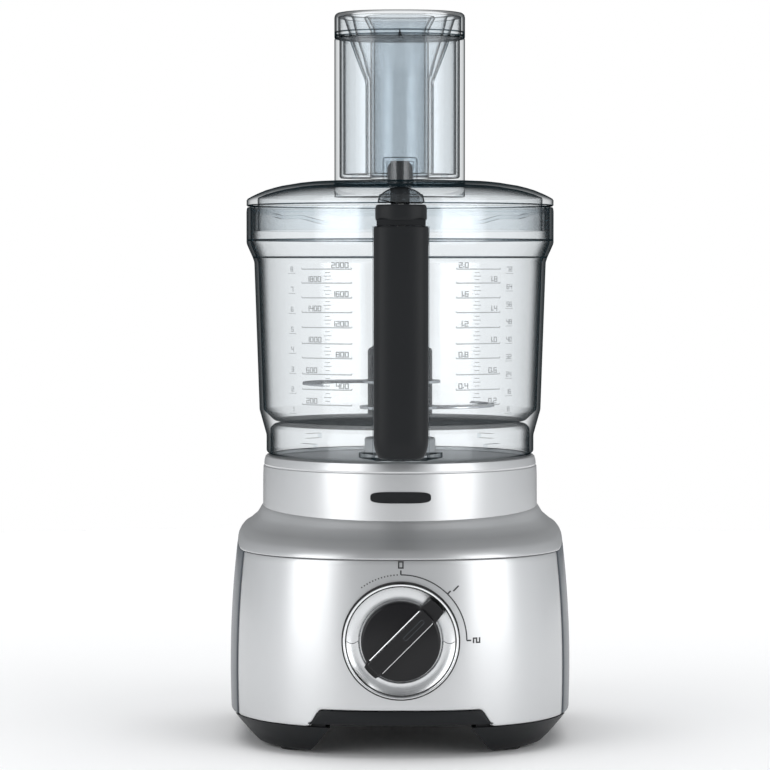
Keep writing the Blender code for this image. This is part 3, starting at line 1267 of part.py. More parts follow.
def build_blades():
    """The spindle and the blade on it."""
    dress(spindle(), "black")
    dress(blade_hub(), "black")
    dress(blade("blade_lower", LOWER_BLADE_Z, 0), "steel")
    dress(blade("blade_upper", UPPER_BLADE_Z, math.pi), "steel")
    dress(hub_cap(), "charcoal")


DIAL_AXIS = empty("dial_axis", APPLIANCE, (0, -BODY_FRONT * swell(DIAL_Z), DIAL_Z))
MOTOR_AXIS = empty("motor_axis", APPLIANCE, (0, MOTOR_Y, 0))
build_casing()
build_dial()
build_drive()
build_motor()
build_bowl()
build_lid()
build_blades()
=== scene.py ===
"""Looks of a food processor: casing, dial, bowl, lid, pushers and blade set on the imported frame.

Metres, +Z up. The bowl's axis is vertical; x and y in the classes below are measured from it, and
y is negative in front.
"""

import logging
import math
from collections.abc import Callable, Iterable, Sequence
from dataclasses import dataclass
from enum import Enum

import bmesh
import bpy
from mathutils import Matrix, Vector


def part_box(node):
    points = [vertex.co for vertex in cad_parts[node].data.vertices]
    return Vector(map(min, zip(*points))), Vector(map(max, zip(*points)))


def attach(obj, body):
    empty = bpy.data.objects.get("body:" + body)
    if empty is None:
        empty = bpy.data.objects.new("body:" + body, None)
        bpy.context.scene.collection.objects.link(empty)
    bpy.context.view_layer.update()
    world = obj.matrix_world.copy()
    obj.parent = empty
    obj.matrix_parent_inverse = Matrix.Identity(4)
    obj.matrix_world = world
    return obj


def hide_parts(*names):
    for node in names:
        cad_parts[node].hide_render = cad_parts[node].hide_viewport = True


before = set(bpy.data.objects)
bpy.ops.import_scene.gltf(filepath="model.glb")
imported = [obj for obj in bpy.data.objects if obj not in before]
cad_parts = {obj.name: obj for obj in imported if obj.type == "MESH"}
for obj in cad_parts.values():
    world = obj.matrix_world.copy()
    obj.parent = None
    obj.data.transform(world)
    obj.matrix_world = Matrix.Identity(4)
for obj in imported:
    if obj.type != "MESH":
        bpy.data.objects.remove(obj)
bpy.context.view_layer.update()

LOG = logging.getLogger("food_processor")
TURN = 2 * math.pi
QUARTER = math.pi / 2
FINE = 144              # facets of the large turned pieces
ROUND = 64              # facets of shafts, hubs and small rings
CLEAR_WALL = 0.0024     # bowl, lid and pushers
CASE_WALL = 0.0025      # moulded casing
GAP = 0.0003            # between pieces that seat on each other

Plan = list[tuple[float, float]]
Ring = list[tuple[float, float, float]]


def axis_of(node: str) -> Vector:
    """The middle of a CAD node's plan."""
    low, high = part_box(node)
    return Vector(((low.x + high.x) / 2, (low.y + high.y) / 2, 0))


BOWL_AXIS = axis_of("tube_bush")
CHUTE_AXIS = axis_of("pusher_small")
ROD_AXIS = axis_of("interlock_magnet")


# ---- shader arithmetic ----
class Wire:
    """An output of a shader node that can be used in arithmetic."""

    def __init__(self, tree: "Tree", socket: bpy.types.NodeSocket) -> None:
        """Keeps the socket and the tree that new nodes go into.

        Args:
            tree: the tree of the socket.
            socket: the output.
        """
        self.tree = tree
        self.socket = socket

    def math(self, operation: str, *values: "Wire | float") -> "Wire":
        """Adds a Math node on values; the first is usually this wire."""
        return self.tree.add("ShaderNodeMath", {"operation": operation}, dict(enumerate(values)))

    def __add__(self, other: "Wire | float") -> "Wire":
        """The sum."""
        return self.math("ADD", self, other)

    def __sub__(self, other: "Wire | float") -> "Wire":
        """The difference."""
        return self.math("SUBTRACT", self, other)

    def __rsub__(self, other: float) -> "Wire":
        """A number less this wire."""
        return self.math("SUBTRACT", other, self)

    def __mul__(self, other: "Wire | float") -> "Wire":
        """The product."""
        return self.math("MULTIPLY", self, other)

    def __truediv__(self, other: "Wire | float") -> "Wire":
        """The quotient."""
        return self.math("DIVIDE", self, other)

    def __pow__(self, other: "Wire | float") -> "Wire":
        """A power."""
        return self.math("POWER", self, other)

    __radd__ = __add__
    __rmul__ = __mul__


class Tree:
    """The shader tree of one material."""

    def __init__(self, name: str) -> None:
        """Starts an empty tree.

        Args:
            name: the material's name.
        """
        self.material = bpy.data.materials.new(name)
        self.material.use_nodes = True
        self.nodes = self.material.node_tree.nodes
        self.nodes.clear()

    def add(self, kind: str, settings: dict | None = None, sockets: dict | None = None,
            out: int | str = 0) -> Wire:
        """Adds a node, applies its settings and then fills its sockets.

        Args:
            kind: the node's type.
            settings: its properties; "stops" gives a ramp's positions and greys.
            sockets: a number, colour or wire for each input's name or place.
            out: the output wanted.

        Returns:
            The wire of that output.
        """
        node = self.nodes.new(kind)
        for key, value in (settings or {}).items():
            if key == "stops":
                self.set_stops(node.color_ramp, value)
            else:
                setattr(node, key, value)
        for key, value in (sockets or {}).items():
            if isinstance(value, Wire):
                self.material.node_tree.links.new(value.socket, node.inputs[key])
            else:
                node.inputs[key].default_value = value
        return Wire(self, node.outputs[out])

    @staticmethod
    def set_stops(ramp: bpy.types.ColorRamp, stops: Sequence[tuple[float, float]]) -> None:
        """Sets the stops of a ramp, each a place and a grey."""
        while len(ramp.elements) < len(stops):
            ramp.elements.new(0.5)
        for element, (place, grey) in zip(ramp.elements, stops):
            element.position = place
            element.color = (grey, grey, grey, 1)

    def coordinates(self, stretch: tuple[float, float, float] = (1, 1, 1)) -> Wire:
        """Places on the piece in metres, stretched along its axes."""
        place = self.add("ShaderNodeTexCoord", out="Object")
        return self.add("ShaderNodeMapping", None, {"Vector": place, "Scale": stretch})

    def noise(self, scale: float, detail: float = 3.0, place: Wire | None = None) -> Wire:
        """A soft random pattern.

        Args:
            scale: how many features there are in a metre.
            detail: the octaves.
            place: where it is read, or None for the piece's own coordinates.

        Returns:
            Its value, about 0.5 on average.
        """
        sockets = {"Vector": place or self.coordinates(), "Scale": scale, "Detail": detail}
        return self.add("ShaderNodeTexNoise", None, sockets)

    def mix(self, share: Wire | float, first: Wire | tuple, second: Wire | tuple) -> Wire:
        """A colour between two others."""
        sockets = {0: share, 6: self.rgba(first), 7: self.rgba(second)}
        return self.add("ShaderNodeMix", {"data_type": "RGBA"}, sockets, 2)

    @staticmethod
    def rgba(colour: Wire | tuple) -> Wire | tuple:
        """A colour with its alpha."""
        return colour if isinstance(colour, Wire) else (*colour, 1)

    def bump(self, height: Wire, depth: float, strength: float = 1.0) -> Wire:
        """A relief of a height that runs from 0 to 1.

        Args:
            height: the pattern.
            depth: the relief in metres.
            strength: the share of it that is applied.

        Returns:
            The normal.
        """
        return self.add("ShaderNodeBump", None, {"Height": height, "Distance": depth, "Strength": strength})

    def finish(self, shader: Wire) -> bpy.types.Material:
        """Joins a shader to the output and returns the material."""
        self.add_output(shader)
        return self.material

    def add_output(self, shader: Wire) -> None:
        """Adds the output node."""
        node = self.nodes.new("ShaderNodeOutputMaterial")
        self.material.node_tree.links.new(shader.socket, node.inputs["Surface"])


class Grain(Enum):
    """How the surface of a finish is worked."""

    MOULDED = "spark eroded"
    BRUSHED = "brushed along X"
    TURNED = "turned about the axis"
    STACKED = "thin sheets in a stack"
    FLAKE = "metallic flake under lacquer"


@dataclass(frozen=True)
class Opaque:
    """A finish that hides what is behind it."""

    name: str
    slot: str
    colour: tuple[float, float, float]
    shade: tuple[float, float, float]
    roughness: float
    metallic: float = 0.0
    coat: float = 0.0
    grain: Grain = Grain.MOULDED
    pitch: float = 2600.0
    relief: float = 0.00003
    mirror: float = 0.5

    def build(self) -> bpy.types.Material:
        """Makes the material.

        Returns:
            Its colour drifts between two tones, and its grain moves roughness and relief.
        """
        tree = Tree(self.name)
        drift = tree.noise(18.0, 4.0)
        fine = self.pattern(tree)
        colour = tree.mix(drift * 0.45 + fine * 0.45, self.colour, self.shade)
        handled = tree.noise(60.0, 5.0)
        roughness = self.roughness + (fine - 0.5) * 0.10 + (handled - 0.5) * 0.08
        sockets = {
            "Base Color": colour, "Roughness": roughness, "Metallic": self.metallic,
            "Coat Weight": self.coat, "Coat Roughness": 0.06, "Specular IOR Level": self.mirror,
            "Normal": tree.bump(fine, self.relief),
        }
        return tree.finish(tree.add("ShaderNodeBsdfPrincipled", None, sockets))

    def pattern(self, tree: Tree) -> Wire:
        """The grain, from 0 to 1."""
        if self.grain is Grain.BRUSHED:
            return tree.noise(self.pitch, 2.0, tree.coordinates((0.03, 1, 1)))
        if self.grain is Grain.TURNED:
            return self.turned_pattern(tree)
        if self.grain is Grain.STACKED:
            settings = {"wave_type": "BANDS", "bands_direction": "Z"}
            sockets = {"Vector": tree.coordinates(), "Scale": self.pitch, "Distortion": 0.2}
            return tree.add("ShaderNodeTexWave", settings, sockets, 1)
        return tree.noise(self.pitch, 2.0)

    def turned_pattern(self, tree: Tree) -> Wire:
        """Fine rings about the piece's own middle, as a lathe leaves them."""
        place = tree.add("ShaderNodeTexCoord", out="Generated")
        middle = tree.add("ShaderNodeVectorMath", {"operation": "SUBTRACT"}, {0: place, 1: (0.5, 0.5, 0.5)})
        radius = tree.add("ShaderNodeVectorMath", {"operation": "LENGTH"}, {0: middle}, "Value")
        where = tree.add("ShaderNodeCombineXYZ", None, {"X": radius})
        return tree.noise(self.pitch / 10, 3.0, where)


@dataclass(frozen=True)
class Clear:
    """A clear plastic with faint moulding marks, whose edges go dark with painted shade."""

    name: str
    slot: str
    tint: tuple[float, float, float]
    # edge: the colour of the painted shade at the edges.
    edge: tuple[float, float, float]
    gloss: float = 0.04
    # rim_share, rim_power, line_from and line_to: how much painted shade the edges get, and the painted
    # dark band along the outlines.
    rim_share: float = 0.95
    rim_power: float = 3.0
    line_from: float = 0.60
    line_to: float = 0.82

    def build(self) -> bpy.types.Material:
        """Makes the material.

        Returns:
            It passes most light straight on and reflects a little; towards its edges a dull dark colour is
            mixed in, painted shade for how clear plastic darkens seen edge on.
        """
        tree = Tree(self.name)
        flow = tree.noise(9.0, 2.0)
        relief = tree.bump(flow, 0.0006, 0.35)
        # Painted shade: the facing weight darkens the clear plastic towards its edges and draws a dark band
        # along its outlines.
        facing = tree.add("ShaderNodeLayerWeight", None, {"Blend": 0.5}, "Facing")
        line = tree.add("ShaderNodeMapRange", {"interpolation_type": "SMOOTHSTEP"}, {
            "Value": facing, "From Min": self.line_from, "From Max": self.line_to}, "Result")
        rim = facing ** self.rim_power * 0.45 + line * 0.55
        shine = {
            "Base Color": tree.mix(flow, (0.94, 0.96, 0.98), (0.88, 0.91, 0.93)), "Metallic": 1.0,
            "Roughness": 0.05 + flow * 0.06, "Normal": relief,
        }
        # A dull dark colour with no reflection: the painted shade itself.
        dark = {
            "Base Color": tree.mix(flow, self.edge, tuple(c * 1.6 for c in self.edge)),
            "Roughness": 0.75 + flow * 0.1, "Specular IOR Level": 0.0, "Normal": relief,
        }
        passed = tree.add("ShaderNodeBsdfTransparent", None, {"Color": (*self.tint, 1)})
        glossy = tree.add("ShaderNodeBsdfPrincipled", None, shine)
        face = tree.add("ShaderNodeMixShader", None, {0: self.gloss, 1: passed, 2: glossy})
        edge = tree.add("ShaderNodeBsdfPrincipled", None, dark)
        return tree.finish(tree.add("ShaderNodeMixShader", None,
                                    {0: rim * self.rim_share, 1: face, 2: edge}))


FINISHES = {made.name: made for made in (
    Opaque("silver_lacquer", "silver_casing", (0.60, 0.605, 0.61), (0.53, 0.54, 0.55), 0.32, 0.84, 0.25,
           Grain.FLAKE, 5200.0, 0.000006),
    Opaque("slate_moulding", "slate_casing", (0.075, 0.087, 0.10), (0.058, 0.068, 0.08), 0.36, coat=0.15),
    Opaque("charcoal_moulding", "charcoal_plastic", (0.013, 0.014, 0.0155), (0.009, 0.010, 0.011), 0.40,
           mirror=0.16),
    Opaque("black_gloss", "black_plastic", (0.007, 0.007, 0.008), (0.004, 0.004, 0.005), 0.24, mirror=0.3),
    Opaque("pad_rubber", "soft_rubber", (0.022, 0.022, 0.022), (0.012, 0.012, 0.012), 0.82, pitch=1500.0),
    Opaque("satin_ring", "satin_bezel", (0.72, 0.73, 0.74), (0.60, 0.61, 0.62), 0.26, 1.0,
           grain=Grain.TURNED, relief=0.00001),
    Opaque("bright_ring", "satin_bezel", (0.86, 0.87, 0.88), (0.78, 0.79, 0.80), 0.10, 1.0,
           grain=Grain.TURNED, relief=0.000004),
    Opaque("ground_steel", "steel", (0.60, 0.61, 0.62), (0.47, 0.48, 0.50), 0.22, 1.0,
           grain=Grain.BRUSHED, relief=0.00001),
    Opaque("cast_aluminium", "aluminium", (0.56, 0.57, 0.58), (0.43, 0.44, 0.45), 0.48, 0.9, pitch=900.0),
    Opaque("white_nylon", "nylon", (0.74, 0.73, 0.68), (0.66, 0.65, 0.60), 0.48, pitch=1200.0),
    Opaque("enamelled_copper", "copper", (0.62, 0.27, 0.11), (0.36, 0.13, 0.05), 0.34, 0.85,
           grain=Grain.STACKED, pitch=520.0, relief=0.0002),
    Opaque("steel_sheets", "laminations", (0.26, 0.26, 0.27), (0.14, 0.14, 0.15), 0.50, 0.8,
           grain=Grain.STACKED, pitch=620.0, relief=0.00008),
    Opaque("pressed_carbon", "carbon", (0.035, 0.035, 0.036), (0.020, 0.020, 0.020), 0.66),
    Opaque("green_board", "circuit_board", (0.03, 0.17, 0.08), (0.02, 0.11, 0.05), 0.42, coat=0.3),
    # The print is white; its colour is painted grey as shade, so that it shows against the pale room.
    Opaque("white_print", "clear_plastic", (0.36, 0.38, 0.39), (0.31, 0.33, 0.34), 0.55, pitch=1800.0),
    Opaque("black_print", "silver_casing", (0.020, 0.020, 0.022), (0.030, 0.030, 0.032), 0.50,
           pitch=1800.0),
    Clear("clear_bowl", "clear_plastic", (0.958, 0.968, 0.974), (0.003, 0.007, 0.009)),
    Clear("clear_lid", "clear_plastic", (0.956, 0.968, 0.975), (0.003, 0.007, 0.009), line_from=0.76,
          line_to=0.95),
    Clear("clear_pusher", "clear_plastic", (0.938, 0.950, 0.958), (0.004, 0.008, 0.010), 0.03, 0.92),
    # Moulded lines and ridges: a dark tint and a strong dark rim, painted shade for how they look against
    # the clear walls.
    Clear("painted_shade_line", "clear_plastic", (0.36, 0.42, 0.45), (0.003, 0.007, 0.009), 0.02, 0.97, 1.0, 0.2,
          0.7),
    # A darker clear finish for the arch over the latch tab: painted shade.
    Clear("painted_shade_tab", "clear_plastic", (0.50, 0.53, 0.55), (0.006, 0.008, 0.009), 0.05, 0.95, 1.8),
    Clear("pale_silicone", "soft_rubber", (0.95, 0.96, 0.965), (0.03, 0.04, 0.05), 0.02, 0.4, 4.0),
)}


def material_for(name: str) -> bpy.types.Material:
    """The material of a finish, made once."""
    return bpy.data.materials.get(name) or FINISHES[name].build()


# ---- shaping ----
def smooth_step(t: float) -> float:
    """0 to 1 with level ends."""
    t = min(max(t, 0.0), 1.0)
    return t * t * (3 - 2 * t)


def oval_point(half_width: float, front: float, rear: float, front_round: float, rear_round: float,
               angle: float) -> tuple[float, float]:
    """The point of a superellipse in one direction.

    Args:
        half_width: its half width.
        front: its depth before the axis.
        rear: its depth behind it.
        front_round: the exponent of the front half.
        rear_round: the exponent of the rear half.
        angle: the direction, from +X.

    Returns:
        x and y.
    """
    c, s = math.cos(angle), math.sin(angle)
    power = rear_round if s > 0 else front_round
    reach = abs(c / half_width) ** power + abs(s / (rear if s > 0 else front)) ** power
    return (c * reach ** (-1 / power), s * reach ** (-1 / power))


def oval(half_width: float, half_depth: float, power: float = 2.0, count: int = FINE) -> Plan:
    """A whole superellipse, anticlockwise from +X."""
    return [oval_point(half_width, half_depth, half_depth, power, power, TURN * i / count)
            for i in range(count)]


def level(plan: Iterable[tuple[float, float]], z: float) -> Ring:
    """A plan at one height."""
    return [(x, y, z) for x, y in plan]


def grown(plan: Plan, by: float) -> Plan:
    """A plan with its points moved out from its middle by a distance."""
    return [(x * (1 + by / math.hypot(x, y)), y * (1 + by / math.hypot(x, y))) for x, y in plan]


def rounded(profile: Sequence[tuple[float, float]], radius: float, steps: int = 3,
            closed: bool = False) -> Plan:
    """A profile whose corners are turned into small arcs.

    Args:
        profile: the corners.
        radius: of the arcs; it is less where two corners are near each other.
        steps: the points of an arc, less one.
        closed: whether the last corner joins the first.

    Returns:
        The points of the rounded profile.
    """
    points = [Vector(corner) for corner in profile]
    out: Plan = []
    for i, corner in enumerate(points):
        if not closed and i in (0, len(points) - 1):
            out.append(tuple(corner))
            continue
        before, after = points[i - 1] - corner, points[(i + 1) % len(points)] - corner
        reach = min(radius, before.length * 0.45, after.length * 0.45)
        start, stop = corner + before.normalized() * reach, corner + after.normalized() * reach
        for k in range(steps + 1):
            t = k / steps
            out.append(tuple(start * (1 - t) ** 2 + corner * (2 * t * (1 - t)) + stop * t * t))
    return out


class Body:
    """A mesh in the making, with the finish, the body and the nodes that it stands for."""

    def __init__(self, name: str, finish: str = "", rides_on: str = "", *replaced: str) -> None:
        """Starts an empty mesh.

        Args:
            name: the piece's name.
            finish: the name of its finish; a shape that is only joined or cut has none.
            rides_on: the body that it moves with.
            *replaced: the CAD nodes that it stands for.
        """
        self.name = name
        self.finish = finish
        self.rides_on = rides_on
        self.replaced = replaced
        self.bm = bmesh.new()

    def loft(self, rings: Sequence[Ring], closed: bool = False) -> "Body":
        """Adds a skin through rings, capped at both ends or joined end to end.

        Args:
            rings: rings with the same number of points.
            closed: whether the last ring joins the first.

        Returns:
            The same body.
        """
        loops = [[self.bm.verts.new(point) for point in ring] for ring in rings]
        pairs = list(zip(loops, loops[1:]))
        if closed:
            pairs.append((loops[-1], loops[0]))
        else:
            self.bm.faces.new(reversed(loops[0]))
            self.bm.faces.new(loops[-1])
        for low, high in pairs:
            for i, first in enumerate(low):
                j = (i + 1) % len(low)
                self.bm.faces.new((first, low[j], high[j], high[i]))
        return self

    def lathe(self, profile: Sequence[tuple[float, float]], count: int = FINE,
              closed: bool = False) -> "Body":
        """Adds a profile of radius and height turned about the axis."""
        return self.loft([level(oval(r, r, count=count), z) for r, z in profile], closed)

    def slab(self, plan: Plan, low: float, high: float, edge: float = 0.0) -> "Body":
        """Adds an outline between two heights, its upper and lower edges eased by a distance."""
        if not edge:
            return self.loft([level(plan, low), level(plan, high)])
        inner = grown(plan, -edge)
        middle = grown(plan, -edge * 0.3)
        rings = [level(inner, low), level(middle, low + edge * 0.3), level(plan, low + edge),
                 level(plan, high - edge), level(middle, high - edge * 0.3), level(inner, high)]
        return self.loft(rings)

    def tube(self, path: Sequence[Vector], radius: float, count: int = 8) -> "Body":
        """Adds a round wire along a path."""
        rings = []
        for i, point in enumerate(path):
            along = (path[min(i + 1, len(path) - 1)] - path[max(i - 1, 0)]).normalized()
            side = along.orthogonal().normalized()
            if abs(along.z) < 0.99:
                side = along.cross(Vector((0, 0, 1))).normalized()
            up = along.cross(side)
            rings.append([tuple(point + (side * math.cos(a) + up * math.sin(a)) * radius)
                          for a in (TURN * k / count for k in range(count))])
        return self.loft(rings)

    def box(self, low: Sequence[float], high: Sequence[float]) -> "Body":
        """Adds a block between two corners."""
        plan = [(low[0], low[1]), (high[0], low[1]), (high[0], high[1]), (low[0], high[1])]
        return self.loft([level(plan, low[2]), level(plan, high[2])])

    def moved(self, matrix: Matrix) -> "Body":
        """Moves what has been added so far."""
        self.bm.transform(matrix)
        return self

    def make(self, place: Vector | Matrix = BOWL_AXIS, *, bevel: float = 0.0, angle: float = 35.0,
             cuts: Sequence["Body"] = (), joins: Sequence["Body"] = ()) -> bpy.types.Object:
        """Turns the mesh into the finished piece.

        Args:
            place: where the mesh's own origin goes in the frame.
            bevel: the width of eased edges, or 0.
            angle: the sharpest angle, in degrees, that is shaded smooth.
            cuts: shapes to take away.
            joins: shapes to add.

        Returns:
            The piece, which rides on its body.
        """
        move = Matrix.Translation(place) if isinstance(place, Vector) else place
        made = self.as_object(move)
        for other, operation in [(c, "DIFFERENCE") for c in cuts] + [(j, "UNION") for j in joins]:
            combine(made, other.as_object(move), operation)
        if bevel:
            change = made.modifiers.new("eased edges", "BEVEL")
            change.width, change.segments, change.limit_method = bevel, 2, "ANGLE"
            change.angle_limit = math.radians(angle)
            apply_changes(made)
        made.data.shade_smooth()
        made.data.set_sharp_from_angle(angle=math.radians(angle))
        made.data.materials.append(material_for(self.finish))
        if self.replaced:
            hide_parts(*self.replaced)
        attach(made, self.rides_on)
        LOG.info("%s: %d faces on %s", self.name, len(made.data.polygons), self.rides_on)
        return made

    def as_object(self, move: Matrix) -> bpy.types.Object:
        """The mesh as a plain object in the frame."""
        bmesh.ops.recalc_face_normals(self.bm, faces=self.bm.faces)
        mesh = bpy.data.meshes.new(self.name)
        self.bm.to_mesh(mesh)
        self.bm.free()
        mesh.transform(move)
        made = bpy.data.objects.new(self.name, mesh)
        bpy.context.scene.collection.objects.link(made)
        return made


def apply_changes(made: bpy.types.Object) -> None:
    """Turns a piece's modifiers into its mesh."""
    graph = bpy.context.evaluated_depsgraph_get()
    mesh = bpy.data.meshes.new_from_object(made.evaluated_get(graph))
    made.modifiers.clear()
    made.data = mesh


def combine(made: bpy.types.Object, other: bpy.types.Object, operation: str) -> None:
    """Joins or cuts one solid with another, which is then removed."""
    change = made.modifiers.new("shape", "BOOLEAN")
    change.operation, change.object, change.solver = operation, other, "EXACT"
    apply_changes(made)
    bpy.data.objects.remove(other)


def facing_front(x: float, y: float, z: float) -> Matrix:
    """A place about the bowl's axis whose own +Z looks to the front and whose +Y is up."""
    return Matrix.Translation(BOWL_AXIS + Vector((x, y, z))) @ Matrix.Rotation(QUARTER, 4, "X")


def bead(name: str, radius: float, z: float, rides_on: str, half: float = 0.0004) -> None:
    """A thin moulded line round the bowl's axis, its darkness painted shade.

    Args:
        name: of the piece.
        radius: of its middle.
        z: height of its middle.
        rides_on: the body that it moves with.
        half: half its width and height.
    """
    low, high, inner, outer = z - half, z + half, radius - half, radius + half
    section = rounded([(inner, low), (outer, low), (outer, high), (inner, high)], half * 0.6, 2,
                      closed=True)
    Body(name, "painted_shade_line", rides_on).lathe(section, FINE, closed=True).make(angle=50)




# ---- motor base ----
@dataclass
class Casing:
    """The outside of the motor base: neck, front panel, rear casing, tray, feet, badge and cord inlet."""

    half_width: float = 0.1050
    shrink: float = 0.044
    wide_z: float = 0.045
    bottom_z: float = 0.0183
    seam_front_z: float = 0.1174
    seam_rear_z: float = 0.1246
    front_round: float = 2.5
    rear_round: float = 4.5
    panel_half_angle: float = math.radians(65)
    notch_half_width: float = 0.0470
    notch_foot: float = 0.0560
    notch_z: float = 0.0287
    neck_top_z: float = 0.1740
    neck_radius: float = 0.0850
    crease_z: float = 0.1430
    crease_drop: float = 0.0040
    edge: float = 0.0012
    side_chamfer: float = 0.0052
    chamfer_drop: float = 0.0007
    dial_hole_radius: float = 0.0350
    dial_hole_z: float = 0.0700
    cord_x: float = 0.0450
    cord_z: float = 0.0450
    cord_hole_radius: float = 0.0068
    tray_low_z: float = 0.0195
    tray_top_z: float = 0.0230
    sole_z: float = 0.0010
    sole_inset: float = 0.0130
    splay: float = 0.0120
    foot_inner_x: float = 0.0420
    foot_inner_y: float = 0.0390
    pad_x: float = 0.0645
    pad_y: float = 0.0620
    pocket_radius: float = 0.0078
    badge_z: float = 0.1530
    badge_half_height: float = 0.0034
    badge_half_width: float = 0.0182
    eased: tuple[float, ...] = (0.0, 0.25, 0.6, 1.0)

    def swell(self, z: float) -> float:
        """The casing's size at a height, as a share of its largest."""
        return 1 - self.shrink * ((z - self.wide_z) / (self.seam_front_z + 0.005 - self.wide_z)) ** 2

    def point(self, angle: float, z: float, inset: float = 0.0) -> tuple[float, float]:
        """The casing's outline at a height and an angle."""
        size = self.half_width * self.swell(z) - inset
        return oval_point(size, size, size, self.front_round, self.rear_round, angle)

    def seam(self, angle: float) -> float:
        """The height of the joint between the lower casing and the neck."""
        edge = -math.cos(self.panel_half_angle)
        rise = smooth_step(1 - math.sin(angle) / edge) if math.sin(angle) < 0 else 1.0
        return self.seam_front_z + (self.seam_rear_z - self.seam_front_z) * rise

    def shoulder_ring(self, spread: float, drop: float, inset: float = 0.0, lift: float = 0.0) -> Ring:
        """A ring between the neck's crease and the lower casing.

        Args:
            spread: how far out it is, from the neck at 0 to the casing at 1.
            drop: how far down, from the crease at 0 to the seam at 1.
            inset: how far inside the outer face.
            lift: how much higher it is than that.

        Returns:
            Its points.
        """
        points = []
        for i in range(FINE):
            angle = TURN * i / FINE
            low = self.seam(angle) + GAP
            crease = self.crease_z - self.crease_drop * max(-math.sin(angle), 0)
            neck = Vector((math.cos(angle), math.sin(angle))) * (self.neck_radius - inset)
            at = neck.lerp(Vector(self.point(angle, low, inset)), spread)
            points.append((at.x, at.y, crease + (low - crease) * drop + lift))
        return points

    def neck(self) -> None:
        """The neck with its lip, the sloping shoulder and the deck under the bowl."""
        top, radius = self.neck_top_z, self.neck_radius
        flare = ((0.0, 0.0), (0.035, 0.025), (0.09, 0.10), (0.16, 0.20), (0.24, 0.30), (0.53, 0.505),
                 (0.82, 0.70), (0.90, 0.79), (0.965, 0.90), (0.985, 0.945), (0.995, 0.98), (0.990, 1.0))
        outer = [self.shoulder_ring(spread, drop) for spread, drop in reversed(flare)]
        inner = [self.shoulder_ring(spread, drop, CASE_WALL) for spread, drop in (flare[0], *flare[2:11])]
        inner.append(self.shoulder_ring(0.975, 1.0, CASE_WALL))
        lip = [(radius, self.crease_z + 0.0030), (radius - 0.0001, top - 0.0125),
               (radius - 0.0003, top - 0.0072),
               (radius - 0.0009, top - 0.0067), (radius - 0.0009, top - 0.0062),
               (radius - 0.0007, top - 0.0057),
               (radius - 0.0010, top - 0.0032), (radius - 0.0016, top - 0.0012),
               (radius - 0.0026, top - 0.0003),
               (radius - 0.0036, top)]
        deck = [(0.0796, top), (0.0790, top - 0.0005), (0.0787, top - 0.0020), (0.0781, top - 0.0026),
                (0.0235, top - 0.0026), (0.0224, top - 0.0020), (0.0220, top - 0.0008), (0.0220, 0.1828),
                (0.0216, 0.1837), (0.0208, 0.1840), (0.0100, 0.1840), (0.0092, 0.1834)]
        under = [(0.0092, top - 0.0056), (radius - CASE_WALL - 0.002, top - 0.0056),
                 (radius - CASE_WALL, top - 0.0080)]
        turned = [level(oval(r, r), z) for r, z in lip + deck + under]
        body = Body("neck_and_shoulder", "silver_lacquer", "motor_base", "top_housing")
        body.loft(outer + turned + inner, closed=True).make(angle=28)

    def panel_low(self, x: float) -> float:
        """The height of the front panel's lower edge at a width."""
        t = (self.notch_foot - abs(x)) / (self.notch_foot - self.notch_half_width)
        return self.bottom_z + (self.notch_z - self.bottom_z) * smooth_step(t)

    def wall(self, across: list[float], start: float, levels: int, low: Callable[[float], float],
             high: Callable[[float], float], drop: float = 0.0) -> list[Ring]:
        """Sections of a strip of the lower casing with eased edges.

        Args:
            across: angles from one side of the strip to the other, from 0.
            start: the angle of its first side.
            levels: the rows between its eased edges.
            low: the height of its lower edge at an angle.
            high: the height of its upper edge at an angle.
            drop: how far its sides are chamfered back.

        Returns:
            A ring at each row.
        """
        up = [self.edge * t for t in self.eased]
        rings = []
        for k in range(levels + 2 * len(up) - 1):
            front, back = [], []
            for turn in across:
                angle = start + turn
                bottom, top = low(angle), high(angle)
                z = self.row_height(k, levels, up, bottom, top)
                side = min(turn, across[-1] - turn) * self.half_width
                inset = self.eased_inset(side) + self.eased_inset(min(z - bottom, top - z))
                inset += drop * max(0.0, 1 - side / self.side_chamfer)
                front.append((*self.point(angle, z, inset), z))
                back.append((*self.point(angle, z, CASE_WALL), z))
            rings.append(front + back[::-1])
        return rings

    def panel(self) -> None:
        """The bowed front panel: eased edges, side chamfers, raised lower edge and the dial's hole."""
        half = self.panel_half_angle
        near = [self.edge * t / self.half_width for t in self.eased]
        chamfer = self.side_chamfer / self.half_width
        offsets = near + [chamfer - 0.004, chamfer, chamfer + 0.004]
        count = 132
        inner = [chamfer + 0.012 + (2 * half - 2 * chamfer - 0.024) * i / count for i in range(count + 1)]
        across = offsets + inner + [2 * half - t for t in reversed(offsets)]
        rings = self.wall(across, -QUARTER - half, 44,
                          lambda angle: self.panel_low(self.point(angle, self.wide_z)[0]),
                          lambda angle: self.seam_front_z, self.chamfer_drop)
        body = Body("front_panel", "silver_lacquer", "motor_base", "front_fascia").loft(rings)
        hole = Body("dial_hole").lathe([(self.dial_hole_radius, -0.03), (self.dial_hole_radius, 0.03)])
        middle = Matrix.Translation((0, -self.half_width, self.dial_hole_z))
        hole.moved(middle @ Matrix.Rotation(QUARTER, 4, "X"))
        body.make(angle=34, cuts=[hole])

    @staticmethod
    def row_height(k: int, levels: int, up: list[float], low: float, high: float) -> float:
        """The height of one row of the panel, close together near its edges."""
        if k < len(up):
            return low + up[k]
        if k >= levels + len(up):
            return high - up[levels + 2 * len(up) - 2 - k]
        t = (k - len(up) + 1) / (levels + 1)
        return low + up[-1] + (high - low - 2 * up[-1]) * t

    def eased_inset(self, distance: float) -> float:
        """How far the surface falls back at a distance from an edge."""
        left = max(0.0, 1 - distance / self.edge)
        return self.edge * 0.7 * (1 - math.sqrt(max(0.0, 1 - left * left)))

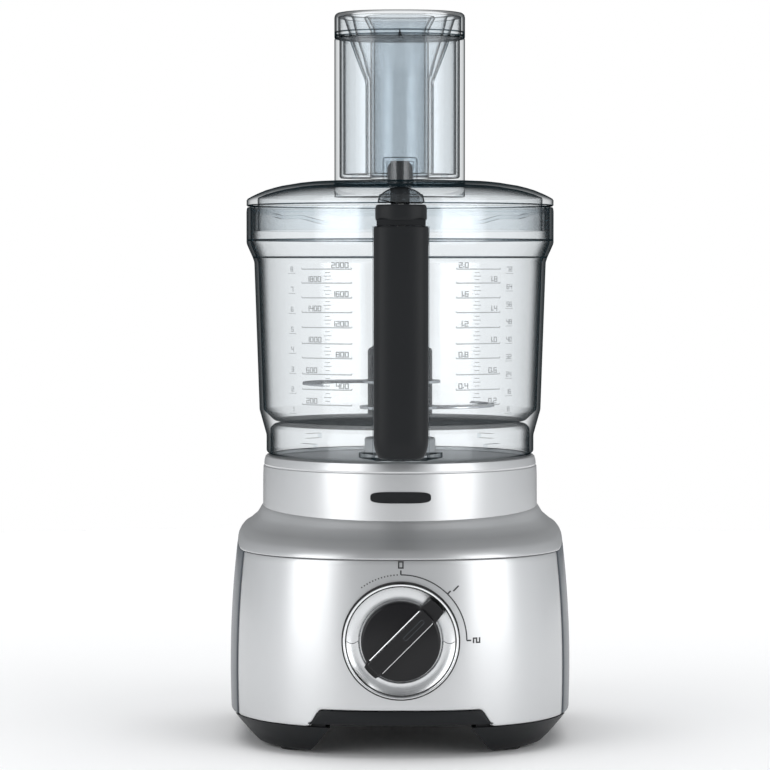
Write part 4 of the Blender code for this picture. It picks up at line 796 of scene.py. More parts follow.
    def rear(self) -> None:
        """The slate casing round the sides and the back."""
        edge = GAP / self.half_width
        start = -QUARTER + self.panel_half_angle + edge
        width = 1.5 * math.pi - self.panel_half_angle - edge - start
        near = [self.edge * t / self.half_width for t in self.eased]
        count = 150
        across = near + [near[-1] + (width - 2 * near[-1]) * i / count for i in range(1, count)]
        across += [width - t for t in reversed(near)]
        rings = self.wall(across, start, 20, lambda angle: self.bottom_z, self.seam)
        hole = Body("cord_hole").lathe([(self.cord_hole_radius, -0.02), (self.cord_hole_radius, 0.02)],
                                       ROUND)
        hole.moved(self.cord_place())
        body = Body("rear_casing", "slate_moulding", "motor_base", "rear_housing").loft(rings)
        body.make(angle=34, cuts=[hole])

    def cord_place(self) -> Matrix:
        """The cord inlet's place in the back, about the bowl's axis."""
        middle = Matrix.Translation((self.cord_x, self.half_width, self.cord_z))
        return middle @ Matrix.Rotation(-QUARTER, 4, "X")

    def tray(self) -> None:
        """The charcoal tray under the casing, with its front lip and four splayed feet."""
        inset = CASE_WALL + 2 * GAP
        plan = [self.point(TURN * i / FINE, self.bottom_z, inset) for i in range(FINE)]
        body = Body("bottom_tray", "charcoal_moulding", "motor_base", "base_plate")
        body.slab(plan, self.tray_low_z, self.tray_top_z)
        corners = [(side, end) for side in (1, -1) for end in (1, -1)]
        body.make(joins=[self.lip()] + [self.foot(*corner) for corner in corners],
                  cuts=[self.pad_pocket(*corner) for corner in corners], angle=38)

    def lip(self) -> Body:
        """The lip that fills the raised middle of the front panel's lower edge."""
        front, back = [], []
        count = 60
        reach = self.notch_foot - 0.0012
        for row in range(5):
            row_front, row_back = [], []
            for i in range(count + 1):
                x = reach * (2 * i / count - 1)
                high = max(self.panel_low(x) - 2 * GAP, self.bottom_z + 0.0022)
                z = 0.0200 + (high - 0.0200) * row / 4
                angle = math.atan2(-1.0, x / self.half_width)
                inset = GAP + 0.0006 * (1 if row in (0, 4) else 0)
                out = self.point(angle, z, inset)
                row_front.append((x, out[1], z))
                row_back.append((x, out[1] + 0.0105, z))
            front.append(row_front)
            back.append(row_back)
        return Body("lip").loft([f + b[::-1] for f, b in zip(front, back)])

    def foot_plan(self, side: int, end: int, inset: float, x_min: float, y_min: float) -> Plan:
        """The plan of a foot: the casing's outline at a corner, closed by two inner sides."""
        power = self.front_round if end < 0 else self.rear_round
        half = self.half_width * self.swell(self.bottom_z) - inset
        start = math.atan2(half * (1 - (x_min / half) ** power) ** (1 / power), x_min)
        stop = math.atan2(y_min, half * (1 - (y_min / half) ** power) ** (1 / power))
        arc = [oval_point(half, half, half, power, power,
                          stop + (start - stop) * i / 22) for i in range(23)]
        corners = rounded([arc[-1], (x_min, y_min), arc[0]], 0.006, 5)
        return [(side * x, end * y) for x, y in corners[1:-1] + arc]

    def foot(self, side: int, end: int) -> Body:
        """A splayed foot that narrows downwards and is eased at its sole."""
        rings = []
        for t in (0.0, 0.03, 0.07, 0.13, 0.35, 0.6, 0.85, 1.0):
            sole = max(0.0, 1 - t / 0.13)
            inset = self.sole_inset - (self.sole_inset - GAP) * t ** 0.92 + 0.0022 * sole ** 2
            inner = self.splay * (1 - t) + 0.0018 * sole ** 2
            plan = self.foot_plan(side, end, inset, self.foot_inner_x + inner, self.foot_inner_y + inner)
            rings.append(level(plan, self.sole_z + (self.bottom_z - GAP - self.sole_z) * t))
        root = self.foot_plan(side, end, 0.0034, 0.0445, 0.0415)
        rings += [level(root, self.bottom_z - GAP), level(root, 0.0207)]
        return Body("foot").loft(rings)

    def pad_pocket(self, side: int, end: int) -> Body:
        """The pocket of a rubber pad."""
        body = Body("pocket").lathe([(self.pocket_radius, -0.003), (self.pocket_radius, 0.0033)], ROUND)
        return body.moved(Matrix.Translation((side * self.pad_x, end * self.pad_y, 0)))

    def pads(self) -> None:
        """The rubber pads, with an eased rim and two grip grooves each."""
        corners = [(side, end) for end in (-1, 1) for side in (-1, 1)]
        profile = [(0.0040, 0.0004), (0.0044, 0.0), (0.0054, 0.0), (0.0058, 0.0004), (0.0062, 0.0),
                   (0.0070, 0.0), (0.0074, 0.0003), (0.0075, 0.0008), (0.0075, 0.0030)]
        for i, (side, end) in enumerate(corners, start=1):
            body = Body(f"rubber_pad_{i}", "pad_rubber", "motor_base", f"foot_pad_{i}")
            body.lathe(profile, ROUND).make(BOWL_AXIS + Vector((side * self.pad_x, end * self.pad_y, 0)))

    def badge(self) -> None:
        """A blank curved lozenge with a raised rim."""
        middle_z, half_z, half_width = self.badge_z, self.badge_half_height, self.badge_half_width
        rings = []
        for share, lift in ((1.0, 0.0), (1.0, 0.0005), (0.975, 0.0008), (0.90, 0.0008), (0.88, 0.0005),
                            (0.3, 0.0005)):
            ring = []
            for x, z in oval(half_width - half_z * (1 - share), half_z * share, 4.0, 144):
                radius = self.neck_radius + GAP / 2 + lift
                ring.append((radius * math.sin(x / radius), -radius * math.cos(x / radius), middle_z + z))
            rings.append(ring)
        body = Body("blank_badge", "charcoal_moulding", "motor_base", "badge")
        back = [(x * 0.999, y * 0.999, z) for x, y, z in rings[0]]
        body.loft([back] + rings).make(angle=25)

    def cord_inlet(self) -> None:
        """The tapered rubber inlet with flexible ribs."""
        flange, reach = 0.0085, 0.0070
        profile = [(0.0034, -0.009), (0.0064, -0.009), (0.0065, GAP), (flange, GAP),
                   (flange + 0.0001, 0.0012), (flange - 0.0006, 0.0020)]
        for i in range(3):
            z = 0.0022 + i * 0.0016
            profile += [(0.0062 - i * 0.0003, z), (0.0062 - i * 0.0003, z + 0.0008),
                        (0.0053 - i * 0.0003, z + 0.0010), (0.0053 - i * 0.0003, z + 0.0014)]
        profile += [(0.0046, reach), (0.0034, reach)]
        body = Body("cord_inlet", "pad_rubber", "motor_base", "cord_gland")
        body.lathe(profile, ROUND, closed=True).make(Matrix.Translation(BOWL_AXIS) @ self.cord_place())

    def build(self) -> None:
        """Builds the motor base's outside."""
        self.neck()
        self.panel()
        self.rear()
        self.tray()
        self.pads()
        self.badge()
        self.cord_inlet()


# ---- numbers and marks ----
DIGITS = {
    "0": "abcdef", "1": "bc", "2": "abged", "3": "abgcd", "4": "fgbc", "5": "afgcd",
    "6": "afgedc", "7": "abc", "8": "abcdefg", "9": "abcdfg",
}
SEGMENTS = {
    "a": ((0, 2), (1, 2)), "b": ((1, 2), (1, 1)), "c": ((1, 1), (1, 0)), "d": ((0, 0), (1, 0)),
    "e": ((0, 1), (0, 0)), "f": ((0, 2), (0, 1)), "g": ((0, 1), (1, 1)),
}


@dataclass
class Marks:
    """Thin printed marks laid on a curved surface, drawn in width and height."""

    name: str
    finish: str
    rides_on: str
    surface: Callable[[float, float, float], tuple[float, float, float]]
    thickness: float = 0.00012

    def __post_init__(self) -> None:
        """Starts with nothing drawn."""
        self.strokes: list[Plan] = []

    def line(self, start: tuple[float, float], stop: tuple[float, float], width: float) -> None:
        """Draws a straight stroke.

        Args:
            start: one end.
            stop: the other end.
            width: of the stroke.
        """
        along = Vector(stop) - Vector(start)
        pieces = max(1, math.ceil(along.length / 0.003))
        side = Vector((-along.y, along.x)).normalized() * width / 2
        points = [Vector(start) + along * i / pieces for i in range(pieces + 1)]
        self.strokes.append([tuple(p + side) for p in points] + [tuple(p - side) for p in reversed(points)])

    def arc(self, radius: float, start: float, stop: float, width: float,
            middle: tuple[float, float]) -> None:
        """Draws an arc between two angles from +X."""
        steps = max(2, int(abs(stop - start) * radius / 0.0012))
        angles = [start + (stop - start) * i / steps for i in range(steps + 1)]
        out = [(middle[0] + (radius + width / 2) * math.cos(a),
                middle[1] + (radius + width / 2) * math.sin(a))
               for a in angles]
        back = [(middle[0] + (radius - width / 2) * math.cos(a),
                 middle[1] + (radius - width / 2) * math.sin(a))
                for a in reversed(angles)]
        self.strokes.append(out + back)

    def number(self, text: str, middle: tuple[float, float], height: float, turn: float = 0.0) -> None:
        """Draws a number in plain strokes.

        Args:
            text: digits and points.
            middle: the middle of the number.
            height: of a digit.
            turn: the angle that it is turned by.
        """
        wide, weight, space = height * 0.70, height * 0.23, height * 0.34
        pitch = [wide + space if c != "." else space * 1.1 for c in text]
        x = -(sum(pitch) - space) / 2
        c, s = math.cos(turn), math.sin(turn)

        def put(u: float, v: float) -> tuple[float, float]:
            """A place in the number, turned and moved."""
            return (middle[0] + u * c - v * s, middle[1] + u * s + v * c)

        for mark, step in zip(text, pitch):
            if mark == ".":
                self.line(put(x, -height / 2), put(x, -height / 2 + weight * 1.3), weight * 1.3)
            for name in DIGITS.get(mark, ""):
                (x0, z0), (x1, z1) = SEGMENTS[name]
                flat = weight / 2 if z0 == z1 else 0.0
                rise = weight / 2 if x0 == x1 else 0.0
                start = put(x + x0 * wide - flat, (z0 - 1) * height / 2 + (rise if z0 > z1 else -rise))
                stop = put(x + x1 * wide + flat, (z1 - 1) * height / 2 - (rise if z0 > z1 else -rise))
                self.line(start, stop, weight)
            x += step

    def make(self, place: Vector = BOWL_AXIS) -> None:
        """Lays the strokes on the surface as one thin printed piece."""
        body = Body(self.name, self.finish, self.rides_on)
        for stroke in self.strokes:
            half = len(stroke) // 2
            rings = []
            for i in range(half):
                a, b = stroke[i], stroke[len(stroke) - 1 - i]
                rings.append([self.surface(*a, 0.0), self.surface(*a, self.thickness),
                              self.surface(*b, self.thickness), self.surface(*b, 0.0)])
            body.loft(rings)
        body.make(place, angle=20)


# ---- speed dial ----
@dataclass
class Dial:
    """The speed dial with its dished ring, knob and printed scale."""

    casing: Casing
    height: float = 0.0700
    ring_radius: float = 0.0340
    ring_front: float = 0.0025
    knob_radius: float = 0.0235
    knob_height: float = 0.0050
    bar_width: float = 0.0097
    bar_height: float = 0.0100
    pointer_radius: float = 0.0308
    rest_angle: float = math.radians(45)
    scale_radius: float = 0.0389

    def front_y(self) -> float:
        """The depth of the dial's plane."""
        return -self.casing.half_width * self.casing.swell(self.height)

    def place(self, turned: bool) -> Matrix:
        """The dial's place, at its rest angle if it turns."""
        turn = -self.rest_angle if turned else 0.0
        return facing_front(0, self.front_y(), self.height) @ Matrix.Rotation(turn, 4, "Z")

    def rings(self) -> None:
        """The bright rim and the satin dished ring inside it, in one turned body."""
        rim, front = self.ring_radius, self.ring_front
        profile = [(0.0380, -0.0086), (0.0380, -0.0070), (rim, -0.0070), (rim, front - 0.0012),
                   (rim - 0.0002, front - 0.0005), (rim - 0.0006, front - 0.0001), (rim - 0.0011, front),
                   (rim - 0.0014, front - 0.0002), (rim - 0.0016, front - 0.0007),
                   (rim - 0.0018, front - 0.0014),
                   (rim - 0.0030, front - 0.0021), (rim - 0.0050, front - 0.0028),
                   (rim - 0.0075, front - 0.0032),
                   (rim - 0.0088, front - 0.0030), (rim - 0.0094, front - 0.0024), (0.0243, front - 0.0030),
                   (0.0243, -0.0015), (0.0033, -0.0015), (0.0033, -0.0040), (rim - 0.004, -0.0040),
                   (rim - 0.004, -0.0086)]
        body = Body("dial_ring", "satin_ring", "motor_base", "dial_bezel").lathe(profile, FINE, closed=True)
        body.make(self.place(False), angle=30)
        halo = [(0.0330, front - 0.0020), (0.0338, front - 0.0009), (0.03405, front - 0.0007),
                (0.03405, front + 0.0001),
                (0.0337, front + 0.00045), (0.0330, front + 0.00045), (0.0327, front + 0.0002),
                (0.0325, front - 0.0003)]
        Body("dial_rim", "bright_ring", "motor_base").lathe(
            halo, FINE, closed=True).make(self.place(False), angle=40)
        for name, inner, outer, low, high in (
            ("dial_gasket_outer", 0.0342, 0.03495, -0.0030, front - 0.0012),
            ("dial_gasket_inner", 0.0320, 0.0325, -0.0005, front - 0.0010),
        ):
            band = rounded([(inner, low), (outer, low), (outer, high), (inner, high)], 0.0001, 2,
                           closed=True)
            Body(name, "pad_rubber", "motor_base").lathe(
                band, FINE, closed=True).make(self.place(False), angle=40)
        for side, name in ((0.0, "dial_seam_right"), (math.pi, "dial_seam_left")):
            path = []
            for i in range(13):
                t = i / 12
                radius = 0.0252 + (0.0318 - 0.0252) * t
                angle = side + 0.05 * math.sin(math.pi * t) * (1 if side else -1)
                path.append(Vector((radius * math.cos(angle), radius * math.sin(angle), self.dish(radius))))
            Body(name, "black_gloss", "motor_base").tube(path, 0.00016).make(self.place(False))

    def dish(self, radius: float) -> float:
        """The height of the satin ring's face at a radius."""
        t = (radius - 0.0246) / (0.0322 - 0.0246)
        return self.ring_front - 0.0031 + 0.0017 * max(t, 0.0) ** 2.2

    def knob(self) -> None:
        """The black knob: a low disc, a raised finger bar, a pointer over the ring and a tail."""
        radius, top = self.knob_radius, self.knob_height
        disc = [(radius - 0.0004, -0.0011), (radius, -0.0006), (radius, top - 0.0016),
                (radius - 0.0003, top - 0.0008),
                (radius - 0.0009, top - 0.0002), (radius - 0.0016, top)]
        body = Body("dial_knob_black", "black_gloss", "dial", "dial_knob").lathe(disc, FINE)
        front = self.ring_front + GAP
        half = self.bar_width / 2
        reach = radius - 0.0006
        plan = rounded([(-half, -reach), (half, -reach), (half, reach), (-half, reach)], 0.0016, 4,
                       closed=True)
        bar = Body("bar")
        narrow = [(x * 0.93, y * 0.985) for x, y in plan]
        bar.loft([level(plan, 0.0024), level(plan, self.bar_height - 0.0016),
                  level([(x * 0.975, y * 0.995) for x, y in plan], self.bar_height - 0.0005),
                  level(narrow, self.bar_height)])
        joins = [bar, self.flare(1, self.pointer_radius, front), self.flare(-1, 0.0262, front)]
        body.make(self.place(True), joins=joins, angle=30)

    def flare(self, end: int, reach: float, low: float) -> Body:
        """A fan that spreads from the bar's end over the ring."""
        half = self.bar_width / 2
        plan = []
        for i in range(13):
            angle = QUARTER - 0.20 + 0.40 * i / 12
            plan.append((reach * math.cos(angle) * 0.9, end * reach * math.sin(angle)))
        plan += [(-half * 1.45, end * self.knob_radius * 0.8), (half * 1.45, end * self.knob_radius * 0.8)]
        high = self.knob_height - 0.0004
        return Body("flare", "black_gloss", "dial").loft(
            [level(plan, low), level(plan, high - 0.0005),
             level([(x * 0.96, y * 0.99) for x, y in plan], high)])

    def trims(self) -> None:
        """The two silver lines beside the bar, closed at the pointer's end, and the slot in the bar."""
        half, top = self.bar_width / 2 + 0.0004, self.knob_height + 0.00015
        reach = math.sqrt((self.knob_radius - 0.0022) ** 2 - half ** 2)
        end = self.knob_radius - 0.0012
        for name, points in (
            ("knob_line_left", [(-half, -reach), (-half, reach)]),
            ("knob_line_right", [(half, -reach), (half, reach)]),
            ("knob_line_end", [(-half, reach), (-half * 0.5, end), (half * 0.5, end), (half, reach)]),
        ):
            path = [Vector((x, y, top)) for x, y in points]
            Body(name, "bright_ring", "dial").tube(path, 0.00042).make(self.place(True))
        slot = rounded([(-0.0011, 0.0030), (0.0011, 0.0030), (0.0011, 0.0185), (-0.0011, 0.0185)], 0.001,
                       4, True)
        rim = Body("knob_slot_rim", "slate_moulding", "dial")
        outer = [(x * 1.25, 0.01075 + (y - 0.01075) * 1.03) for x, y in slot]
        z = self.bar_height
        rim.loft([level(outer, z - 0.0004), level(outer, z - 0.00002), level(slot, z + 0.00002),
                  level(slot, z - 0.0004)], closed=True)
        rim.make(self.place(True), angle=20)

    def scale(self) -> None:
        """The printed arc from 12 to 3 o'clock with its ticks and numbers, and the dots left of 12."""
        def surface(x: float, z: float, lift: float) -> tuple[float, float, float]:
            """A place on the panel before the dial."""
            high = self.height + z
            size = self.casing.half_width * self.casing.swell(high)
            reach = (1 - abs(x / size) ** self.casing.front_round) ** (1 / self.casing.front_round)
            return (x, -size * reach - GAP / 6 - lift, high)

        marks = Marks("speed_scale", "black_print", "motor_base", surface)
        radius, middle = self.scale_radius, (0.0, 0.0)
        marks.arc(radius, 0.0, QUARTER, 0.0007, middle)
        for angle, text in ((QUARTER, "0"), (QUARTER / 2, "1"), (0.0, "2")):
            along = Vector((math.cos(angle), math.sin(angle)))
            marks.line(tuple(along * radius), tuple(along * (radius + 0.0026)), 0.0009)
            marks.number(text, tuple(along * (radius + 0.0058)), 0.0036, angle - QUARTER)
        for i in range(13):
            angle = QUARTER + 0.055 + 0.048 * i
            marks.arc(radius, angle - 0.009, angle + 0.009, 0.0008, middle)
        marks.make()

    def build(self) -> None:
        """Builds the dial."""
        self.rings()
        self.knob()
        self.trims()
        self.scale()


# ---- bowl ----
@dataclass
class Bowl:
    """The clear bowl with its handle, safety rod and printed graduations."""

    foot_radius: float = 0.0828
    lower_radius: float = 0.0871
    upper_radius: float = 0.0902
    rim_radius: float = 0.0950
    foot_z: float = 0.1743
    foot_top_z: float = 0.1860
    lower_z: float = 0.2015
    upper_z: float = 0.2926
    shoulder_z: float = 0.3044
    top_z: float = 0.3265
    floor_z: float = 0.1950
    tube_inner: float = 0.0140
    tube_outer: float = 0.0165
    tube_top_z: float = 0.2350
    grip_front: float = 0.1300
    grip_depth: float = 0.0130
    grip_half_width: float = 0.0160
    grip_bottom_z: float = 0.1784
    grip_top_z: float = 0.3134
    cap_bottom_z: float = 0.3170
    cap_top_z: float = 0.3260
    core_thickness: float = 0.0050
    core_half_width: float = 0.0166
    arm_height: float = 0.0110
    cap_half_width: float = 0.0150
    chamber_half_width: float = 0.0042
    screw_x: float = 0.0100
    screw_z: float = 0.2050
    rod_radius: float = 0.0024
    collar_radius: float = 0.0036
    shoulder_lines: tuple[float, float] = (0.3063, 0.2957)
    print_radius: float = 0.0895
    print_lines: tuple[float, ...] = (0.2885, 0.2802, 0.2714, 0.2627, 0.2537, 0.2441, 0.2354, 0.2258,
                                      0.2167, 0.2075)

    def wall_radius(self, z: float) -> float:
        """The bowl's outer radius at a height between its lower and upper steps."""
        t = (z - self.lower_z) / (self.upper_z - self.lower_z)
        return self.lower_radius + (self.upper_radius - self.lower_radius) * t

    def shell(self) -> None:
        """The bowl itself: foot ring, stepped rim, floor, centre tube, bayonet tabs and handle core."""
        w, low = CLEAR_WALL, self.foot_z
        corners = [
            (self.foot_radius - 0.0019, low), (self.foot_radius, low + 0.0016),
            (self.foot_radius, self.foot_top_z), (self.lower_radius, self.lower_z),
            (self.upper_radius, self.upper_z), (self.upper_radius + 0.0010, self.upper_z + 0.0030),
            (self.rim_radius - 0.0010, self.shoulder_z - 0.0025), (self.rim_radius, self.shoulder_z),
            (self.rim_radius, self.top_z - 0.0024), (self.rim_radius - 0.0004, self.top_z),
            (self.rim_radius - w, self.top_z), (self.rim_radius - w, self.shoulder_z),
            (self.upper_radius - w, self.upper_z), (self.lower_radius - w, self.lower_z),
            (self.foot_radius - 2 * w, self.floor_z), (self.tube_outer + w, self.floor_z),
            (self.tube_outer, self.floor_z + w), (self.tube_outer, self.tube_top_z),
            (self.tube_inner, self.tube_top_z), (self.tube_inner, self.floor_z - w),
            (self.foot_radius - 2 * w, self.floor_z - w), (self.foot_radius - w, self.floor_z - 2 * w),
            (self.foot_radius - w, low),
        ]
        body = Body("bowl_shell", "clear_bowl", "bowl", "bowl")
        body.lathe(rounded(corners, 0.0008, 3, closed=True), FINE, closed=True)
        body.make(joins=[*self.core(), *self.tabs()], angle=32)
        upper = self.shoulder_lines[0]
        for name, z in zip(("shoulder_line_upper", "shoulder_line_lower"), self.shoulder_lines):
            bead(name, self.rim_radius - w / 2 - (upper - z) * 0.30, z, "bowl", 0.0005)

    def tabs(self) -> list[Body]:
        """The four bayonet tabs inside the foot ring."""
        made = []
        for i in range(4):
            near, far = self.foot_radius - CLEAR_WALL - 0.004, self.foot_radius - CLEAR_WALL / 2
            tab = Body("tab").box((near, -0.006, self.foot_z + 0.006),
                                  (far, 0.006, self.foot_z + 0.009))
            made.append(tab.moved(Matrix.Rotation(TURN * (i + 0.5) / 4, 4, "Z")))
        return made

    def core(self) -> list[Body]:
        """The handle's clear core: bar, upper and lower arms and the flared foot."""
        front = -(self.grip_front - self.grip_depth - GAP)
        back, half = front + self.core_thickness, self.core_half_width
        low, high = self.grip_bottom_z + GAP, self.grip_top_z
        bar = Body("bar").slab(
            rounded([(-half, front), (half, front), (half, back), (-half, back)], 0.0012, 3, True), low,
            high)
        top = Body("arm").box((-half + GAP, back - GAP, high - self.arm_height),
                              (half - GAP, -self.rim_radius + 0.0012, high - GAP))
        under = Body("arm").box((-half * 0.85, back - GAP, low + GAP),
                                (half * 0.85, -self.foot_radius + 0.0015,
                                 low + self.arm_height))
        inner, outer = -self.foot_radius * 0.97, back - self.core_thickness / 2
        flare = []
        for i in range(9):
            t = i / 8
            flare.append((half * (1.5 - 0.6 * smooth_step(t)), inner + (outer - inner) * t))
        plan = flare + [(-x, y) for x, y in reversed(flare)]
        foot = Body("foot").loft([level(plan, low - 0.002), level(plan, low + 0.001)])
        return [bar, top, under, foot]

    def grip_plan(self, scale: float) -> Plan:
        """The grip's section: flat behind, rounded in front."""
        half, back = self.grip_half_width, self.grip_front - self.grip_depth
        points = [(half * scale, -back), (half * scale, -back - 0.002 * scale)]
        for i in range(33):
            x, y = oval_point(half, self.grip_depth - 0.004, 1, 2.6, 2, -math.pi * i / 32)
            points.append((x * scale, -back - (0.004 - y) * scale))
        return points + [(-half * scale, -back - 0.002 * scale), (-half * scale, -back)]

    def grip(self) -> None:
        """The charcoal grip, rounded at its foot, with a shallow groove round its shoulder."""
        low, high = self.grip_bottom_z, self.grip_top_z
        rings = []
        for i in range(9):
            t = i / 8
            rise = 0.0125 * (1 - math.cos(QUARTER * t))
            rings.append(level(self.grip_plan(0.72 + 0.28 * math.sin(QUARTER * t)), low + rise))
        for z, scale in ((low + 0.03, 1.0), (low + 0.09, 1.0), (high - 0.0014, 1.0), (high - 0.0004, 0.985),
                         (high, 0.96)):
            rings.append(level(self.grip_plan(scale), z))
        back = -(self.grip_front - self.grip_depth)
        channels = []
        chamber = self.chamber_half_width
        for half, bottom, top in ((chamber, low + 0.0026, 0.1920), (0.0030, low + 0.0030, high),
                                  (chamber, 0.2697, high + 0.002)):
            channels.append(Body("channel").box(
                (-half, back - chamber - half, bottom), (half, back + 0.002, top)))
        for x in (-self.screw_x, self.screw_x):
            bore = Body("bore").lathe([(0.0022, -0.002), (0.0022, 0.0095)], 24)
            place = Matrix.Translation((x, back, self.screw_z)) @ Matrix.Rotation(QUARTER, 4, "X")
            channels.append(bore.moved(place))
        body = Body("grip", "charcoal_moulding", "bowl", "handle_grip").loft(rings)
        body.make(cuts=channels, angle=30)

    def cap(self) -> None:
        """The cap over the handle's top, on a narrower neck, with an eased crown and the rod's hole."""
        back, front, half = -(self.rim_radius + 2 * GAP), -(self.grip_front - 0.001), self.cap_half_width
        corners = [(-half, back), (half, back), (half, front + 0.005), (half - 0.009, front),
                   (-half + 0.009, front), (-half, front + 0.005)]
        plan = rounded(corners, 0.0045, 6, closed=True)
        middle = (back + front) / 2
        rings = []
        for rise, share in ((self.cap_bottom_z, 0.965), (self.cap_bottom_z + 0.0004, 0.99),
                            (self.cap_bottom_z + 0.0012, 1.0), (self.cap_top_z - 0.0026, 1.0),
                            (self.cap_top_z - 0.0012, 0.985), (self.cap_top_z - 0.0003, 0.95),
                            (self.cap_top_z, 0.91)):
            rings.append([(x * share, middle + (y - middle) * (1 - (1 - share) * 0.5), rise)
                          for x, y in plan])
        neck = Body("neck").box((-half + 0.0008, front + 0.0012, self.grip_top_z + GAP),
                                (half - 0.0008, back - GAP, self.cap_bottom_z + GAP))
        hole = Body("hole").lathe([(0.0027, 0.3100), (0.0027, 0.3300)], 32)
        hole.moved(Matrix.Translation(ROD_AXIS - BOWL_AXIS))
        body = Body("grip_cap", "charcoal_moulding", "bowl", "handle_cap").loft(rings)
        body.make(joins=[neck], cuts=[hole], angle=34)

    def rod(self) -> None:
        """The safety rod with its rounded tip and collar."""
        z, rod, collar = self.cap_top_z, self.rod_radius, self.collar_radius
        profile = [(rod, 0.1863), (rod, 0.2988), (0.0026, 0.2990), (0.0035, 0.2990), (collar, 0.2992),
                   (collar, 0.3013), (0.0035, 0.3015), (rod, 0.3015), (rod, z - 0.0011),
                   (0.0022, z - 0.0005),
                   (0.0017, z + GAP * 0.8)]
        Body("safety_rod", "white_nylon", "safety_rod", "interlock_rod").lathe(profile, 32).make(ROD_AXIS)

    def graduations(self) -> None:
        """The measuring lines and numbers on both sides, in two printed pieces."""
        lines = self.print_lines

        def surface(x: float, z: float, lift: float) -> tuple[float, float, float]:
            """A place on the bowl's outer wall."""
            radius = self.wall_radius(z) + 0.00005 + lift
            angle = x / radius
            return (radius * math.sin(angle), -radius * math.cos(angle), z)

        def across(x: float) -> float:
            """The length along the wall to a width as it is seen from the front."""
            return self.print_radius * math.asin(max(-0.999, min(0.999, x / self.print_radius)))

        for side, name, inner, texts in (
            (-1, "millilitre_scale", 0.0290, [str(n) for n in range(2000, 0, -200)]),
            (1, "litre_scale", 0.0330, [f"{n / 10:.1f}" for n in range(20, 0, -2)]),
        ):
            # White print, painted grey as shade.
            marks = Marks(name, "white_print", "bowl", surface)
            near, far = side * inner, side * (inner + 0.0265 if side > 0 else inner + 0.0300)
            tick = side * (0.0455 if side > 0 else 0.0435)
            for i, (z, text) in enumerate(zip(lines, texts)):
                marks.line((across(near), z), (across(far), z), 0.0006)
                for end in (near, far):
                    marks.line((across(end), z), (across(end), z + 0.0009), 0.0004)
                inset = 0.0016 + 0.00137 * len(text.replace(".", ""))
                inward = (i % 2 == 0)
                place = near + side * inset if inward else far - side * inset
                marks.number(text, (across(place), z + 0.0024), 0.0028)
                if i:
                    for k in (1, 2, 3):
                        middle = z + (lines[i - 1] - z) * k / 4
                        half = 0.0022 if k == 2 else 0.0014
                        marks.line((across(tick - half), middle), (across(tick + half), middle), 0.00042)
            count = 9 if side > 0 else 8
            column = side * (0.0652 if side > 0 else 0.0650)
            for i in range(count):
                z = lines[0] + (lines[-1] - 0.003 - lines[0]) * i / (count - 1)
                text = str(8 * (count - i)) if side > 0 else str(count - i)
                marks.number(text, (across(column), z), 0.0025)
                marks.line((across(column - 0.0022), z - 0.0026), (across(column + 0.0022), z - 0.0026),
                           0.00035)
            marks.make()

    def build(self) -> None:
        """Builds the bowl group."""
        self.shell()
        self.grip()
        self.cap()
        self.rod()
        self.graduations()


